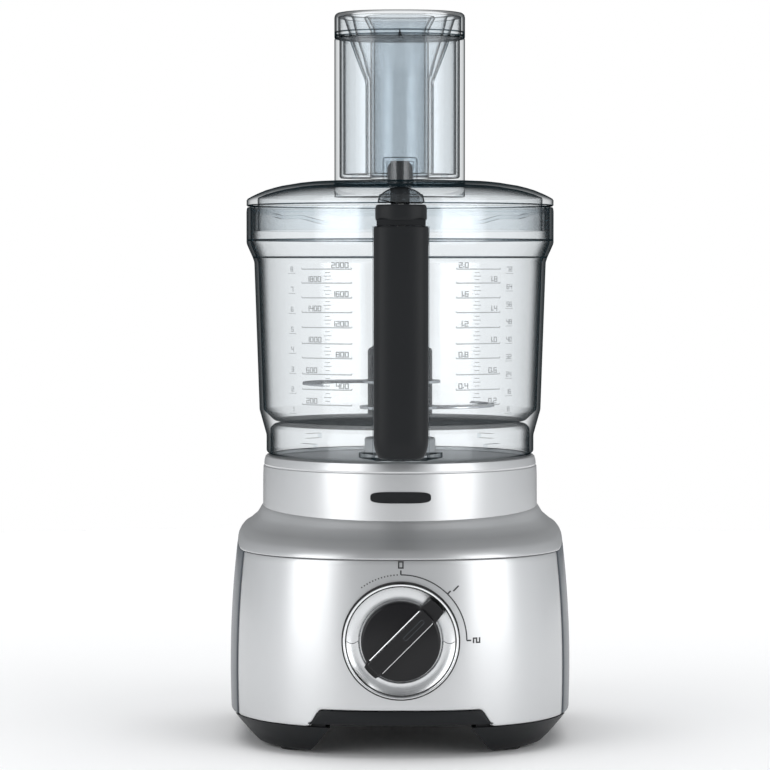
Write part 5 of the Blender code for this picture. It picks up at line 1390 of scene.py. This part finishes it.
# ---- lid ----
@dataclass
class Lid:
    """The clear lid with its feed chute, centre boss, latch tab and locking ramps."""

    radius: float = 0.0949
    rim_top_z: float = 0.3315
    top_z: float = 0.3422
    flat_radius: float = 0.0560
    skirt_radius: float = 0.0905
    skirt_bottom_z: float = 0.3120
    seat_z: float = 0.3271
    boss_radius: float = 0.0108
    boss_top_z: float = 0.3575
    chute_half_width: float = 0.0414
    chute_half_depth: float = 0.0360
    chute_top_z: float = 0.4343
    chute_round: float = 2.5
    tab_half_width: float = 0.0130
    tab_reach: float = 0.1265
    tab_low_z: float = 0.3269
    tab_top_z: float = 0.3320

    def chute_plan(self, inset: float) -> Plan:
        """The chute's oval plan about its own middle."""
        return oval(self.chute_half_width - inset, self.chute_half_depth - inset, self.chute_round)

    def shell(self) -> None:
        """The lid with everything that is moulded in one with it."""
        w = CLEAR_WALL
        dome = [(0.0949, 0.3308), (0.0942, 0.3318), (0.0915, 0.3333), (0.0884, 0.3348), (0.0834, 0.3369),
                (0.0781, 0.3385), (0.0733, 0.3397), (0.0684, 0.3405), (0.0625, 0.3415),
                (self.flat_radius, self.top_z)]
        under = [(r - w / 4, z - w) for r, z in reversed(dome[3:])]
        profile = [(self.boss_radius - w, self.boss_top_z - w),
                   (self.boss_radius - w, self.top_z - w)] + under
        profile += [(self.skirt_radius - w, self.rim_top_z), (self.skirt_radius - w, self.skirt_bottom_z),
                    (self.skirt_radius - w + 0.0004, self.skirt_bottom_z),
                    (self.skirt_radius - 0.0004, self.skirt_bottom_z),
                    (self.skirt_radius, self.skirt_bottom_z + 0.0005),
                    (self.skirt_radius, self.seat_z), (self.radius - 0.0006, self.seat_z),
                    (self.radius, self.seat_z + 0.0006)]
        profile += dome + [(self.boss_radius + 0.0012, self.top_z),
                           (self.boss_radius + 0.0003, self.top_z + 0.0004),
                           (self.boss_radius, self.top_z + 0.0012),
                           (self.boss_radius, self.boss_top_z - 0.0014),
                           (self.boss_radius - 0.0005, self.boss_top_z - 0.0004),
                           (self.boss_radius - 0.0014, self.boss_top_z)]
        body = Body("lid_shell", "clear_lid", "lid", "lid").lathe(profile, FINE)
        here = Matrix.Translation(CHUTE_AXIS - BOWL_AXIS)
        rise = []
        for z, out in ((self.rim_top_z + 0.0025, 0.0), (self.top_z - 0.0002, 0.0),
                       (self.chute_top_z - 0.0008, 0.0),
                       (self.chute_top_z, -0.0006)):
            rise.append(level(self.chute_plan(-out), z))
        chute = Body("chute").loft(rise).moved(here)
        throat = Body("throat").slab(self.chute_plan(w), self.skirt_bottom_z, 0.9).moved(here)
        body.make(joins=[self.tab(), chute], cuts=[throat], angle=32)

    def tab(self) -> Body:
        """The latch tab over the handle, with a ramp under its leading side."""
        low, high, half = self.tab_low_z, self.tab_top_z, self.tab_half_width
        section = [(-half, low + 0.0022), (-0.0024, low), (half - 0.0005, low), (half, low + 0.0005),
                   (half, high - 0.0012), (half - 0.0004, high - 0.0004), (half - 0.0012, high),
                   (-half + 0.0012, high), (-half + 0.0004, high - 0.0004), (-half, high - 0.0012)]
        rings = []
        for y, share in ((-0.0930, 1.0), (-self.tab_reach + 0.0012, 1.0), (-self.tab_reach + 0.0003, 0.985),
                         (-self.tab_reach, 0.96)):
            rings.append([(x * share, y, z) for x, z in section])
        return Body("tab").loft(rings)

    def dome(self) -> None:
        """An arch over the latch tab in a dark clear finish: painted shade where refraction darkens the
        lid.
        """
        half, low, rise = 0.0136, self.tab_low_z + 0.0004, 0.0088
        section = [(half * math.cos(math.pi * i / 24),
                    low + rise * math.sin(math.pi * i / 24)) for i in range(25)]
        rings = []
        for y, share in ((-0.0955, 0.90), (-0.0975, 1.0), (-self.tab_reach + 0.0030, 1.0),
                         (-self.tab_reach + 0.0010, 0.93), (-self.tab_reach + 0.0002, 0.80)):
            rings.append([(x * share, y, low + (z - low) * share) for x, z in section])
        Body("latch_dome", "painted_shade_tab", "lid").loft(rings).make(angle=40)

    def ramps(self) -> None:
        """The raised locking ramps inside the skirt, one on each side of the handle."""
        for side, name in ((-1, "locking_ramp_left"), (1, "locking_ramp_right")):
            outer, inner = self.skirt_radius - CLEAR_WALL - 0.00005, self.skirt_radius - CLEAR_WALL - 0.0022
            rings = []
            count = 20
            for i in range(count + 1):
                t = i / count
                angle = -QUARTER + side * (math.radians(30) + math.radians(32) * t)
                low = 0.3150 + 0.0035 * smooth_step(t * 2.2) + 0.0015 * smooth_step((t - 0.75) * 4)
                high = low + 0.0022
                c, s = math.cos(angle), math.sin(angle)
                rings.append([(outer * c, outer * s, low), (outer * c, outer * s, high),
                              (inner * c, inner * s, high), (inner * c, inner * s, low)])
            Body(name, "clear_lid", "lid").loft(rings).make(angle=40)

    def build(self) -> None:
        """Builds the lid."""
        self.shell()
        self.ramps()
        self.dome()
        bead("rim_line", self.radius - CLEAR_WALL / 2, self.seat_z + 0.0006, "lid")
        # A ring at the chute's root, its dark look painted shade along the crease where the chute meets the
        # lid.
        root = [level(self.chute_plan(inset), z) for inset, z in (
            (-0.0009, 0.3408), (-0.0002, 0.3426), (0.0010, 0.3426), (0.0010, 0.3408))]
        Body("chute_root", "painted_shade_line", "lid").loft(root, closed=True).make(CHUTE_AXIS, angle=40)


# ---- pushers ----
@dataclass
class Pushers:
    """The clear oval pusher and the round measuring pusher inside it."""

    chute: Lid
    bottom_z: float = 0.3460
    top_z: float = 0.4500
    feed_radius: float = 0.0189
    funnel_z: float = 0.4070
    throat_width: float = 0.0300
    throat_depth: float = 0.0260
    cup_top_z: float = 0.4480
    flare_radius: float = 0.0225
    slide: float = 0.0008
    line_radius: float = 0.00045
    outer_gusset: Plan = ((0.0325, 0.4365), (0.0270, 0.4215), (0.0219, 0.4085), (0.0213, 0.4050),
                          (0.0213, 0.3485))
    inner_gusset: Plan = ((0.0270, 0.4358), (0.0228, 0.4225), (0.0199, 0.4105))

    def tier(self, half_width: float, half_depth: float, z: float, power: float = 2.5) -> Ring:
        """One oval ring."""
        return level(oval(half_width, half_depth, power, 96), z)

    def large(self) -> None:
        """The oval pusher: walls, arched cap, and the funnel down to the feed tube."""
        lid, w = self.chute, CLEAR_WALL
        wide, deep = lid.chute_half_width - w - self.slide, lid.chute_half_depth - w - self.slide
        brim, brim_deep = lid.chute_half_width, lid.chute_half_depth
        seat, top = lid.chute_top_z + GAP, self.top_z
        rings = [self.tier(wide - 0.0008, deep - 0.0008, self.bottom_z),
                 self.tier(wide, deep, self.bottom_z + 0.0008)]
        rings += [self.tier(wide, deep, seat), self.tier(brim - 0.0005, brim_deep - 0.0005, seat),
                  self.tier(brim, brim_deep, seat + 0.0006), self.tier(brim, brim_deep, top - 0.0026),
                  self.tier(brim - 0.0004, brim_deep - 0.0004, top - 0.0012),
                  self.tier(brim - 0.0014, brim_deep - 0.0014, top - 0.0003),
                  self.tier(brim - 0.0030, brim_deep - 0.0030, top)]
        throat = (self.throat_width, self.throat_depth)
        rings += [self.tier(throat[0] + 0.0036, throat[1] + 0.0036, top),
                  self.tier(throat[0] + 0.0012, throat[1] + 0.0012, top - 0.0008),
                  self.tier(throat[0], throat[1], top - 0.0030)]
        for i in range(1, 9):
            t = i / 9
            share = smooth_step(t) * 0.35 + t * 0.65
            rings.append(self.tier(throat[0] + (self.feed_radius - throat[0]) * share,
                                   throat[1] + (self.feed_radius - throat[1]) * share,
                                   top - 0.003 + (self.funnel_z - top + 0.003) * t, 2.5 - 0.5 * t))
        rings += [self.tier(self.feed_radius, self.feed_radius, self.funnel_z, 2),
                  self.tier(self.feed_radius, self.feed_radius, self.bottom_z, 2)]
        body = Body("oval_pusher", "clear_pusher", "pusher_large", "pusher_large").loft(rings, closed=True)
        body.make(CHUTE_AXIS, cuts=[self.cavity(wide - w, deep - w, seat), self.vent(-1), self.vent(1)],
                  angle=32)

    def cavity(self, wide: float, deep: float, seat: float) -> Body:
        """The hollow between the walls and the feed tube."""
        w, top, bottom = CLEAR_WALL, self.top_z, self.bottom_z
        brim, brim_deep = self.chute.chute_half_width - w, self.chute.chute_half_depth - w
        tube = self.feed_radius + 0.0020
        return Body("cavity").loft([
            self.tier(wide, deep, bottom + w), self.tier(wide, deep, seat - w),
            self.tier(brim, brim_deep, seat + w),
            self.tier(brim, brim_deep, top - w),
            self.tier(self.throat_width + 0.0055, self.throat_depth + 0.0055, top - w),
            self.tier(self.throat_width + 0.002, self.throat_depth + 0.002, seat + w),
            self.tier(tube, tube, self.funnel_z, 2), self.tier(tube, tube, bottom + w, 2)], closed=True)

    def lines(self) -> None:
        """The moulded lines of the oval pusher: two gussets on each side and the cap's lower edge, their
        darkness painted shade.
        """
        for side, name in ((-1, "left"), (1, "right")):
            for word, path in (("outer", self.outer_gusset), ("inner", self.inner_gusset)):
                body = Body(f"gusset_{word}_{name}", "painted_shade_line", "pusher_large")
                line = [Vector((side * x, 0.0, z)) for x, z in path]
                body.tube(line, self.line_radius).make(CHUTE_AXIS, angle=50)
        for name, z in (("cap_seam_lower", 0.4348), ("cap_seam_upper", 0.4372)):
            wide, deep = self.chute.chute_half_width, self.chute.chute_half_depth
            rings = [self.tier(wide - inset, deep - inset, z + rise) for inset, rise in (
                (0.0, 0.0), (0.0, 0.0008), (0.0010, 0.0008), (0.0010, 0.0))]
            Body(name, "painted_shade_line", "pusher_large").loft(rings, closed=True).make(CHUTE_AXIS, angle=40)

    def vent(self, side: int) -> Body:
        """A small hole in the pusher's sole."""
        wide = self.chute.chute_half_width - 2 * CLEAR_WALL - self.slide
        middle = side * (wide + self.feed_radius + 0.002) / 2
        body = Body("vent").lathe([(0.002, self.bottom_z - 0.002),
                                   (0.002, self.bottom_z + 0.005)], 24)
        return body.moved(Matrix.Translation((middle, 0, 0)))

    def small(self) -> None:
        """The measuring pusher: a cup with a flared, eased mouth."""
        radius, wall, low, high = self.feed_radius - 0.0004, 0.0020, self.bottom_z + 0.001, self.cup_top_z
        flare = self.flare_radius
        corners = [(radius - 0.0007, low), (radius, low + 0.0007), (radius, high - 0.0090),
                   (flare, high - 0.0012),
                   (flare, high - 0.0003), (flare - 0.0003, high), (flare - wall + 0.0003, high),
                   (flare - wall, high - 0.0004), (radius - wall, high - 0.0080),
                   (radius - wall, low + wall + 0.0010),
                   (radius - wall - 0.0010, low + wall)]
        Body("measuring_pusher", "clear_pusher", "pusher_small", "pusher_small").lathe(
            corners, 96).make(CHUTE_AXIS, angle=32)
        self.key()

    def key(self) -> None:
        """The small moulded drop on the measuring pusher's mouth that lines it up."""
        radius = self.feed_radius - 0.0004
        plan = []
        for i in range(24):
            angle = TURN * i / 24
            stretch = 0.0042 if math.sin(angle) > 0 else 0.0016
            plan.append((0.0013 * math.cos(angle) * (1 - max(math.sin(angle), 0) * 0.7),
                         0.4352 + stretch * math.sin(angle)))
        rings = []
        for depth, share in ((0.0, 1.0), (0.0005, 1.0), (0.0008, 0.7)):
            rings.append([(x * share, -(radius - 0.0020) + depth, z) for x, z in plan])
        Body("pusher_key", "charcoal_moulding", "pusher_small").loft(rings).make(CHUTE_AXIS)

    def build(self) -> None:
        """Builds both pushers."""
        self.large()
        self.small()
        self.lines()


# ---- blade set ----
@dataclass
class BladeSet:
    """The spindle that drops over the output shaft, the hub and its two curved knives."""

    floor_z: float = 0.1950
    tube_top_z: float = 0.2350
    hub_radius: float = 0.0200
    hub_low: float = 0.1980
    hub_shoulder: float = 0.2400
    hub_top: float = 0.2830
    neck_radius: float = 0.0125
    reach: float = 0.0800
    thickness: float = 0.0016
    sweep: float = math.radians(55)

    def spindle(self) -> None:
        """The stem: socket, hexagonal drive, slim neck and the black tip seen in the lid's boss."""
        body = Body("blade_spindle", "black_gloss", "spindle", "spindle").lathe(
            [(0.0123, self.floor_z), (0.0123, 0.2330), (0.0092, 0.2350)], ROUND)
        hexagon = Body("hexagon").lathe([(0.0092, 0.2325), (0.0092, 0.2827)], 6)
        stem = Body("stem").lathe(
            [(0.0060, 0.2805), (0.0060, 0.3380), (0.0064, 0.3386), (0.0078, 0.3402), (0.0078, 0.3512),
             (0.0076, 0.3520),
             (0.0072, 0.3528), (0.0063, 0.3538), (0.0055, 0.3550)], ROUND)
        socket = Body("socket").lathe([(0.0056, 0.1925), (0.0056, 0.2275)], 6)
        body.make(joins=[hexagon, stem], cuts=[socket], angle=30)

    def hub(self) -> None:
        """The sleeve over the bowl's tube, with a slimmer neck above its shoulder."""
        profile = [(self.hub_radius - 0.0006, self.hub_low), (self.hub_radius, self.hub_low + 0.0006),
                   (self.hub_radius, self.hub_shoulder - 0.0022),
                   (self.hub_radius - 0.0006, self.hub_shoulder - 0.0008),
                   (self.hub_radius - 0.0022, self.hub_shoulder),
                   (self.neck_radius + 0.0020, self.hub_shoulder + 0.0030),
                   (self.neck_radius + 0.0004, self.hub_shoulder + 0.0038),
                   (self.neck_radius, self.hub_shoulder + 0.0050),
                   (self.neck_radius, self.hub_top - 0.0006), (self.neck_radius - 0.0006, self.hub_top),
                   (0.0075, self.hub_top), (0.0075, self.tube_top_z + 0.0015),
                   (0.0173, self.tube_top_z + 0.0015),
                   (0.0173, self.hub_low)]
        key = Body("key").lathe([(0.0098, self.tube_top_z), (0.0098, 0.5)], 6)
        body = Body("hub", "black_gloss", "blade", "blade_hub").lathe(profile, ROUND, closed=True)
        body.make(cuts=[key], angle=34)

    def knife(self, name: str, node: str, z: float, turn: float) -> None:
        """One crescent knife on its collar, hollow ground towards the leading edge.

        Args:
            name: the piece's name.
            node: the CAD node that it stands for.
            z: the height of its lower face.
            turn: the direction of its root.
        """
        root, high = self.hub_radius + 0.0035, z + self.thickness
        rings = []
        for i in range(41):
            t = i / 40
            radius = root + (self.reach - root) * t
            angle = turn + self.sweep * t * t
            half = 0.0110 * (1 - 0.9 * t ** 3)
            lead, trail = angle + half / radius, angle - half / radius
            ground = lead - 0.0032 * (1 - 0.6 * t) / radius * min(1.0, 6 * t + 0.25)
            ring = []
            for lean, up in ((lead, z + 0.00008), (lead, z + 0.0002), (ground, high),
                             (trail + 0.0004 / radius, high),
                             (trail, high - 0.0004), (trail, z + 0.0003), (trail + 0.0003 / radius, z)):
                ring.append((radius * math.cos(lean), radius * math.sin(lean), up))
            rings.append(ring)
        arm = Body("arm").loft(rings)
        collar = [(self.hub_radius + GAP, z), (self.hub_radius + 0.005, z), (self.hub_radius + 0.005, high),
                  (self.hub_radius + GAP, high)]
        Body(name, "ground_steel", "blade", node).lathe(
            collar, ROUND, closed=True).make(joins=[arm], angle=18)

    def top_ring(self) -> None:
        """The snap ring on the hub."""
        low, high = self.hub_top + GAP, self.hub_top + 0.0050
        profile = [(0.0084, low), (0.0133, low), (0.0135, low + 0.0004), (0.0135, high - 0.0012),
                   (0.0131, high - 0.0003),
                   (0.0122, high), (0.0090, high), (0.0084, high - 0.0004)]
        Body("hub_ring", "charcoal_moulding", "blade", "hub_cap").lathe(
            profile, ROUND, closed=True).make(angle=40)

    def build(self) -> None:
        """Builds the blade set."""
        self.spindle()
        self.hub()
        self.knife("knife_lower", "blade_lower", 0.2020, 0.0)
        self.knife("knife_upper", "blade_upper", 0.2180, math.pi)
        self.top_ring()


# ---- inner parts ----
class Inner(Enum):
    """The finish of each CAD node that keeps its own mesh."""

    ALUMINIUM = ("cast_aluminium", ("chassis", "motor_bridge"))
    STEEL = ("ground_steel", ("bearing_lower", "bearing_upper", "motor_bearing_lower",
                              "motor_bearing_upper",
                              "drive_shaft", "motor_pulley", "motor_screw_1", "motor_screw_2",
                              "base_screw_1",
                              "base_screw_2", "base_screw_3", "base_screw_4", "handle_screw_left",
                              "handle_screw_right", "interlock_magnet", "interlock_spring"))
    NYLON = ("white_nylon", ("driven_pulley", "motor_fan", "tube_bush", "dial_shaft"))
    RUBBER = ("pad_rubber", ("drive_belt", "shaft_seal"))
    SILICONE = ("pale_silicone", ("lid_seal",))
    SHEETS = ("steel_sheets", ("stator_core", "armature"))
    COPPER = ("enamelled_copper", ("winding_lower", "winding_upper"))
    CARBON = ("pressed_carbon", ("brush_left", "brush_right"))
    BOARD = ("green_board", ("control_board",))
    BLACK = ("black_gloss", ("speed_switch", "interlock_switch"))


def dress_inner_parts() -> None:
    """Gives every CAD node that keeps its mesh its detailed finish."""
    for group in Inner:
        finish, names = group.value
        for name in names:
            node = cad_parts[name]
            node.data.materials.clear()
            node.data.materials.append(material_for(finish))
            LOG.info("%s keeps its mesh, in %s", name, finish)


# ---- floor, light and camera ----
@dataclass
class Studio:
    """The plain pale floor, the soft lights and the camera."""

    lens: float = 139.3
    distance: float = 1.848
    floor_radius: float = 1.45
    floor_glow: float = 0.36
    eye_x: float = -0.0093
    eye_z: float = 0.2920
    tilt: float = math.radians(2.34)
    side_stops: tuple[tuple[float, float], ...] = ((0.0, 0.40), (0.30, 0.52), (0.62, 1.0), (1.0, 0.95))
    rear_stops: tuple[tuple[float, float], ...] = ((0.0, 1.0), (0.35, 0.80), (0.8, 0.55), (1.0, 0.5))
    top_stops: tuple[tuple[float, float], ...] = ((0.0, 1.0), (0.35, 0.85), (0.7, 0.55), (1.0, 0.5))

    def floor(self) -> None:
        """A wide pale disc that glows more towards its rim: painted light that fades it into the white
        room.
        """
        bm = bmesh.new()
        bmesh.ops.create_circle(bm, cap_ends=True, segments=96, radius=self.floor_radius)
        mesh = bpy.data.meshes.new("floor")
        bm.to_mesh(mesh)
        bm.free()
        made = bpy.data.objects.new("floor", mesh)
        bpy.context.scene.collection.objects.link(made)
        tree = Tree("pale_floor")
        tone = tree.mix(tree.noise(2.0, 2.0), (0.90, 0.90, 0.905), (0.93, 0.93, 0.93))
        radius = tree.add("ShaderNodeVectorMath", {"operation": "LENGTH"}, {0: tree.coordinates()}, "Value")
        # Painted light: emission that grows with the distance from the middle.
        glow = tree.mix(radius * 0.85 - 0.20, (0.0, 0.0, 0.0), (self.floor_glow,) * 3)
        shader = tree.add("ShaderNodeBsdfPrincipled", None, {
            "Base Color": tone, "Roughness": 0.55, "Emission Color": glow, "Emission Strength": 1.0})
        mesh.materials.append(tree.finish(shader))

    def light(self, name: str, place: tuple[float, float, float], aim: tuple[float, float, float],
              size: tuple[float, float], power: float, mirrored: bool = True) -> None:
        """Adds a soft rectangular light.

        Args:
            name: of the light.
            place: where it stands.
            aim: what it faces.
            size: its width and height.
            power: in watts.
            mirrored: whether glossy surfaces show it.
        """
        data = bpy.data.lights.new(name, "AREA")
        data.shape, data.size, data.size_y, data.energy = "RECTANGLE", size[0], size[1], power
        made = bpy.data.objects.new(name, data)
        bpy.context.scene.collection.objects.link(made)
        made.location = place
        made.rotation_euler = (Vector(aim) - Vector(place)).to_track_quat("-Z", "Y").to_euler()
        made.visible_glossy = mirrored

    def surroundings(self) -> None:
        """A white room that the object reflects as a softer grey."""
        world = bpy.data.worlds.new("studio")
        bpy.context.scene.world = world
        world.use_nodes = True
        nodes, links = world.node_tree.nodes, world.node_tree.links
        nodes.clear()
        path = nodes.new("ShaderNodeLightPath")
        seen, lit = nodes.new("ShaderNodeBackground"), nodes.new("ShaderNodeBackground")
        seen.inputs["Color"].default_value = (1, 1, 1, 1)
        seen.inputs["Strength"].default_value = 1.0
        mix, out = nodes.new("ShaderNodeMixShader"), nodes.new("ShaderNodeOutputWorld")
        place, axes = nodes.new("ShaderNodeTexCoord"), nodes.new("ShaderNodeSeparateXYZ")
        links.new(place.outputs["Generated"], axes.inputs[0])
        side = self.ramp(world, axes.outputs["X"], "ABSOLUTE", self.side_stops)
        depth = self.ramp(world, axes.outputs["Y"], "MAXIMUM", self.rear_stops)
        height = self.ramp(world, axes.outputs["Z"], "MAXIMUM", self.top_stops)
        strength = self.product(world, self.product(world, side, depth), height)
        links.new(strength, lit.inputs["Strength"])
        lit.inputs["Color"].default_value = (0.96, 0.98, 1.0, 1)
        links.new(path.outputs["Is Camera Ray"], mix.inputs[0])
        links.new(lit.outputs[0], mix.inputs[1])
        links.new(seen.outputs[0], mix.inputs[2])
        links.new(mix.outputs[0], out.inputs["Surface"])

    @staticmethod
    def ramp(world: bpy.types.World, value: bpy.types.NodeSocket, operation: str,
             stops: tuple[tuple[float, float], ...]) -> bpy.types.NodeSocket:
        """How bright the room is along one axis.

        Args:
            world: the world.
            value: the direction along that axis.
            operation: ABSOLUTE for both sides alike, or MAXIMUM for only the positive side.
            stops: places from 0 to 1 and brightnesses.

        Returns:
            The brightness.
        """
        nodes, links = world.node_tree.nodes, world.node_tree.links
        fold, ramp = nodes.new("ShaderNodeMath"), nodes.new("ShaderNodeValToRGB")
        fold.operation, fold.inputs[1].default_value = operation, 0.0
        links.new(value, fold.inputs[0])
        Tree.set_stops(ramp.color_ramp, stops)
        ramp.color_ramp.interpolation = "EASE"
        links.new(fold.outputs[0], ramp.inputs[0])
        return ramp.outputs[0]

    @staticmethod
    def product(world: bpy.types.World, first: bpy.types.NodeSocket,
                second: bpy.types.NodeSocket) -> bpy.types.NodeSocket:
        """The product of two brightnesses."""
        node = world.node_tree.nodes.new("ShaderNodeMath")
        node.operation = "MULTIPLY"
        world.node_tree.links.new(first, node.inputs[0])
        world.node_tree.links.new(second, node.inputs[1])
        return node.outputs[0]

    def camera(self) -> None:
        """The camera, a little above the lid and level with the object's front."""
        data = bpy.data.cameras.new("camera")
        data.lens, data.sensor_width = self.lens, 36.0
        made = bpy.data.objects.new("camera", data)
        bpy.context.scene.collection.objects.link(made)
        made.location = (self.eye_x, BOWL_AXIS.y - self.distance, self.eye_z)
        made.rotation_euler = (QUARTER - self.tilt, 0, 0)
        bpy.context.scene.camera = made

    def build(self) -> None:
        """Builds the studio."""
        self.floor()
        self.surroundings()
        self.light("left_softbox", (-1.15, -1.05, 0.55), (0, 0, 0.15), (1.0, 1.6), 9)
        self.light("right_softbox", (1.15, -1.05, 0.55), (0, 0, 0.15), (1.0, 1.6), 9)
        self.light("top_softbox", (0, 0.2, 1.9), (0, 0, 0.0), (2.4, 2.0), 34, mirrored=False)
        self.camera()
        scene = bpy.context.scene
        scene.view_settings.view_transform = "Standard"
        scene.cycles.transparent_max_bounces = 40


def main() -> None:
    """Builds the object's looks, then the studio round it."""
    logging.basicConfig(level=logging.INFO, format="%(name)s %(message)s")
    casing, lid = Casing(), Lid()
    for group in (casing, Dial(casing=casing), Bowl(), lid, Pushers(lid), BladeSet()):
        LOG.info("building %s", type(group).__name__)
        group.build()
    dress_inner_parts()
    Studio().build()


if __name__ == "__main__":
    main()
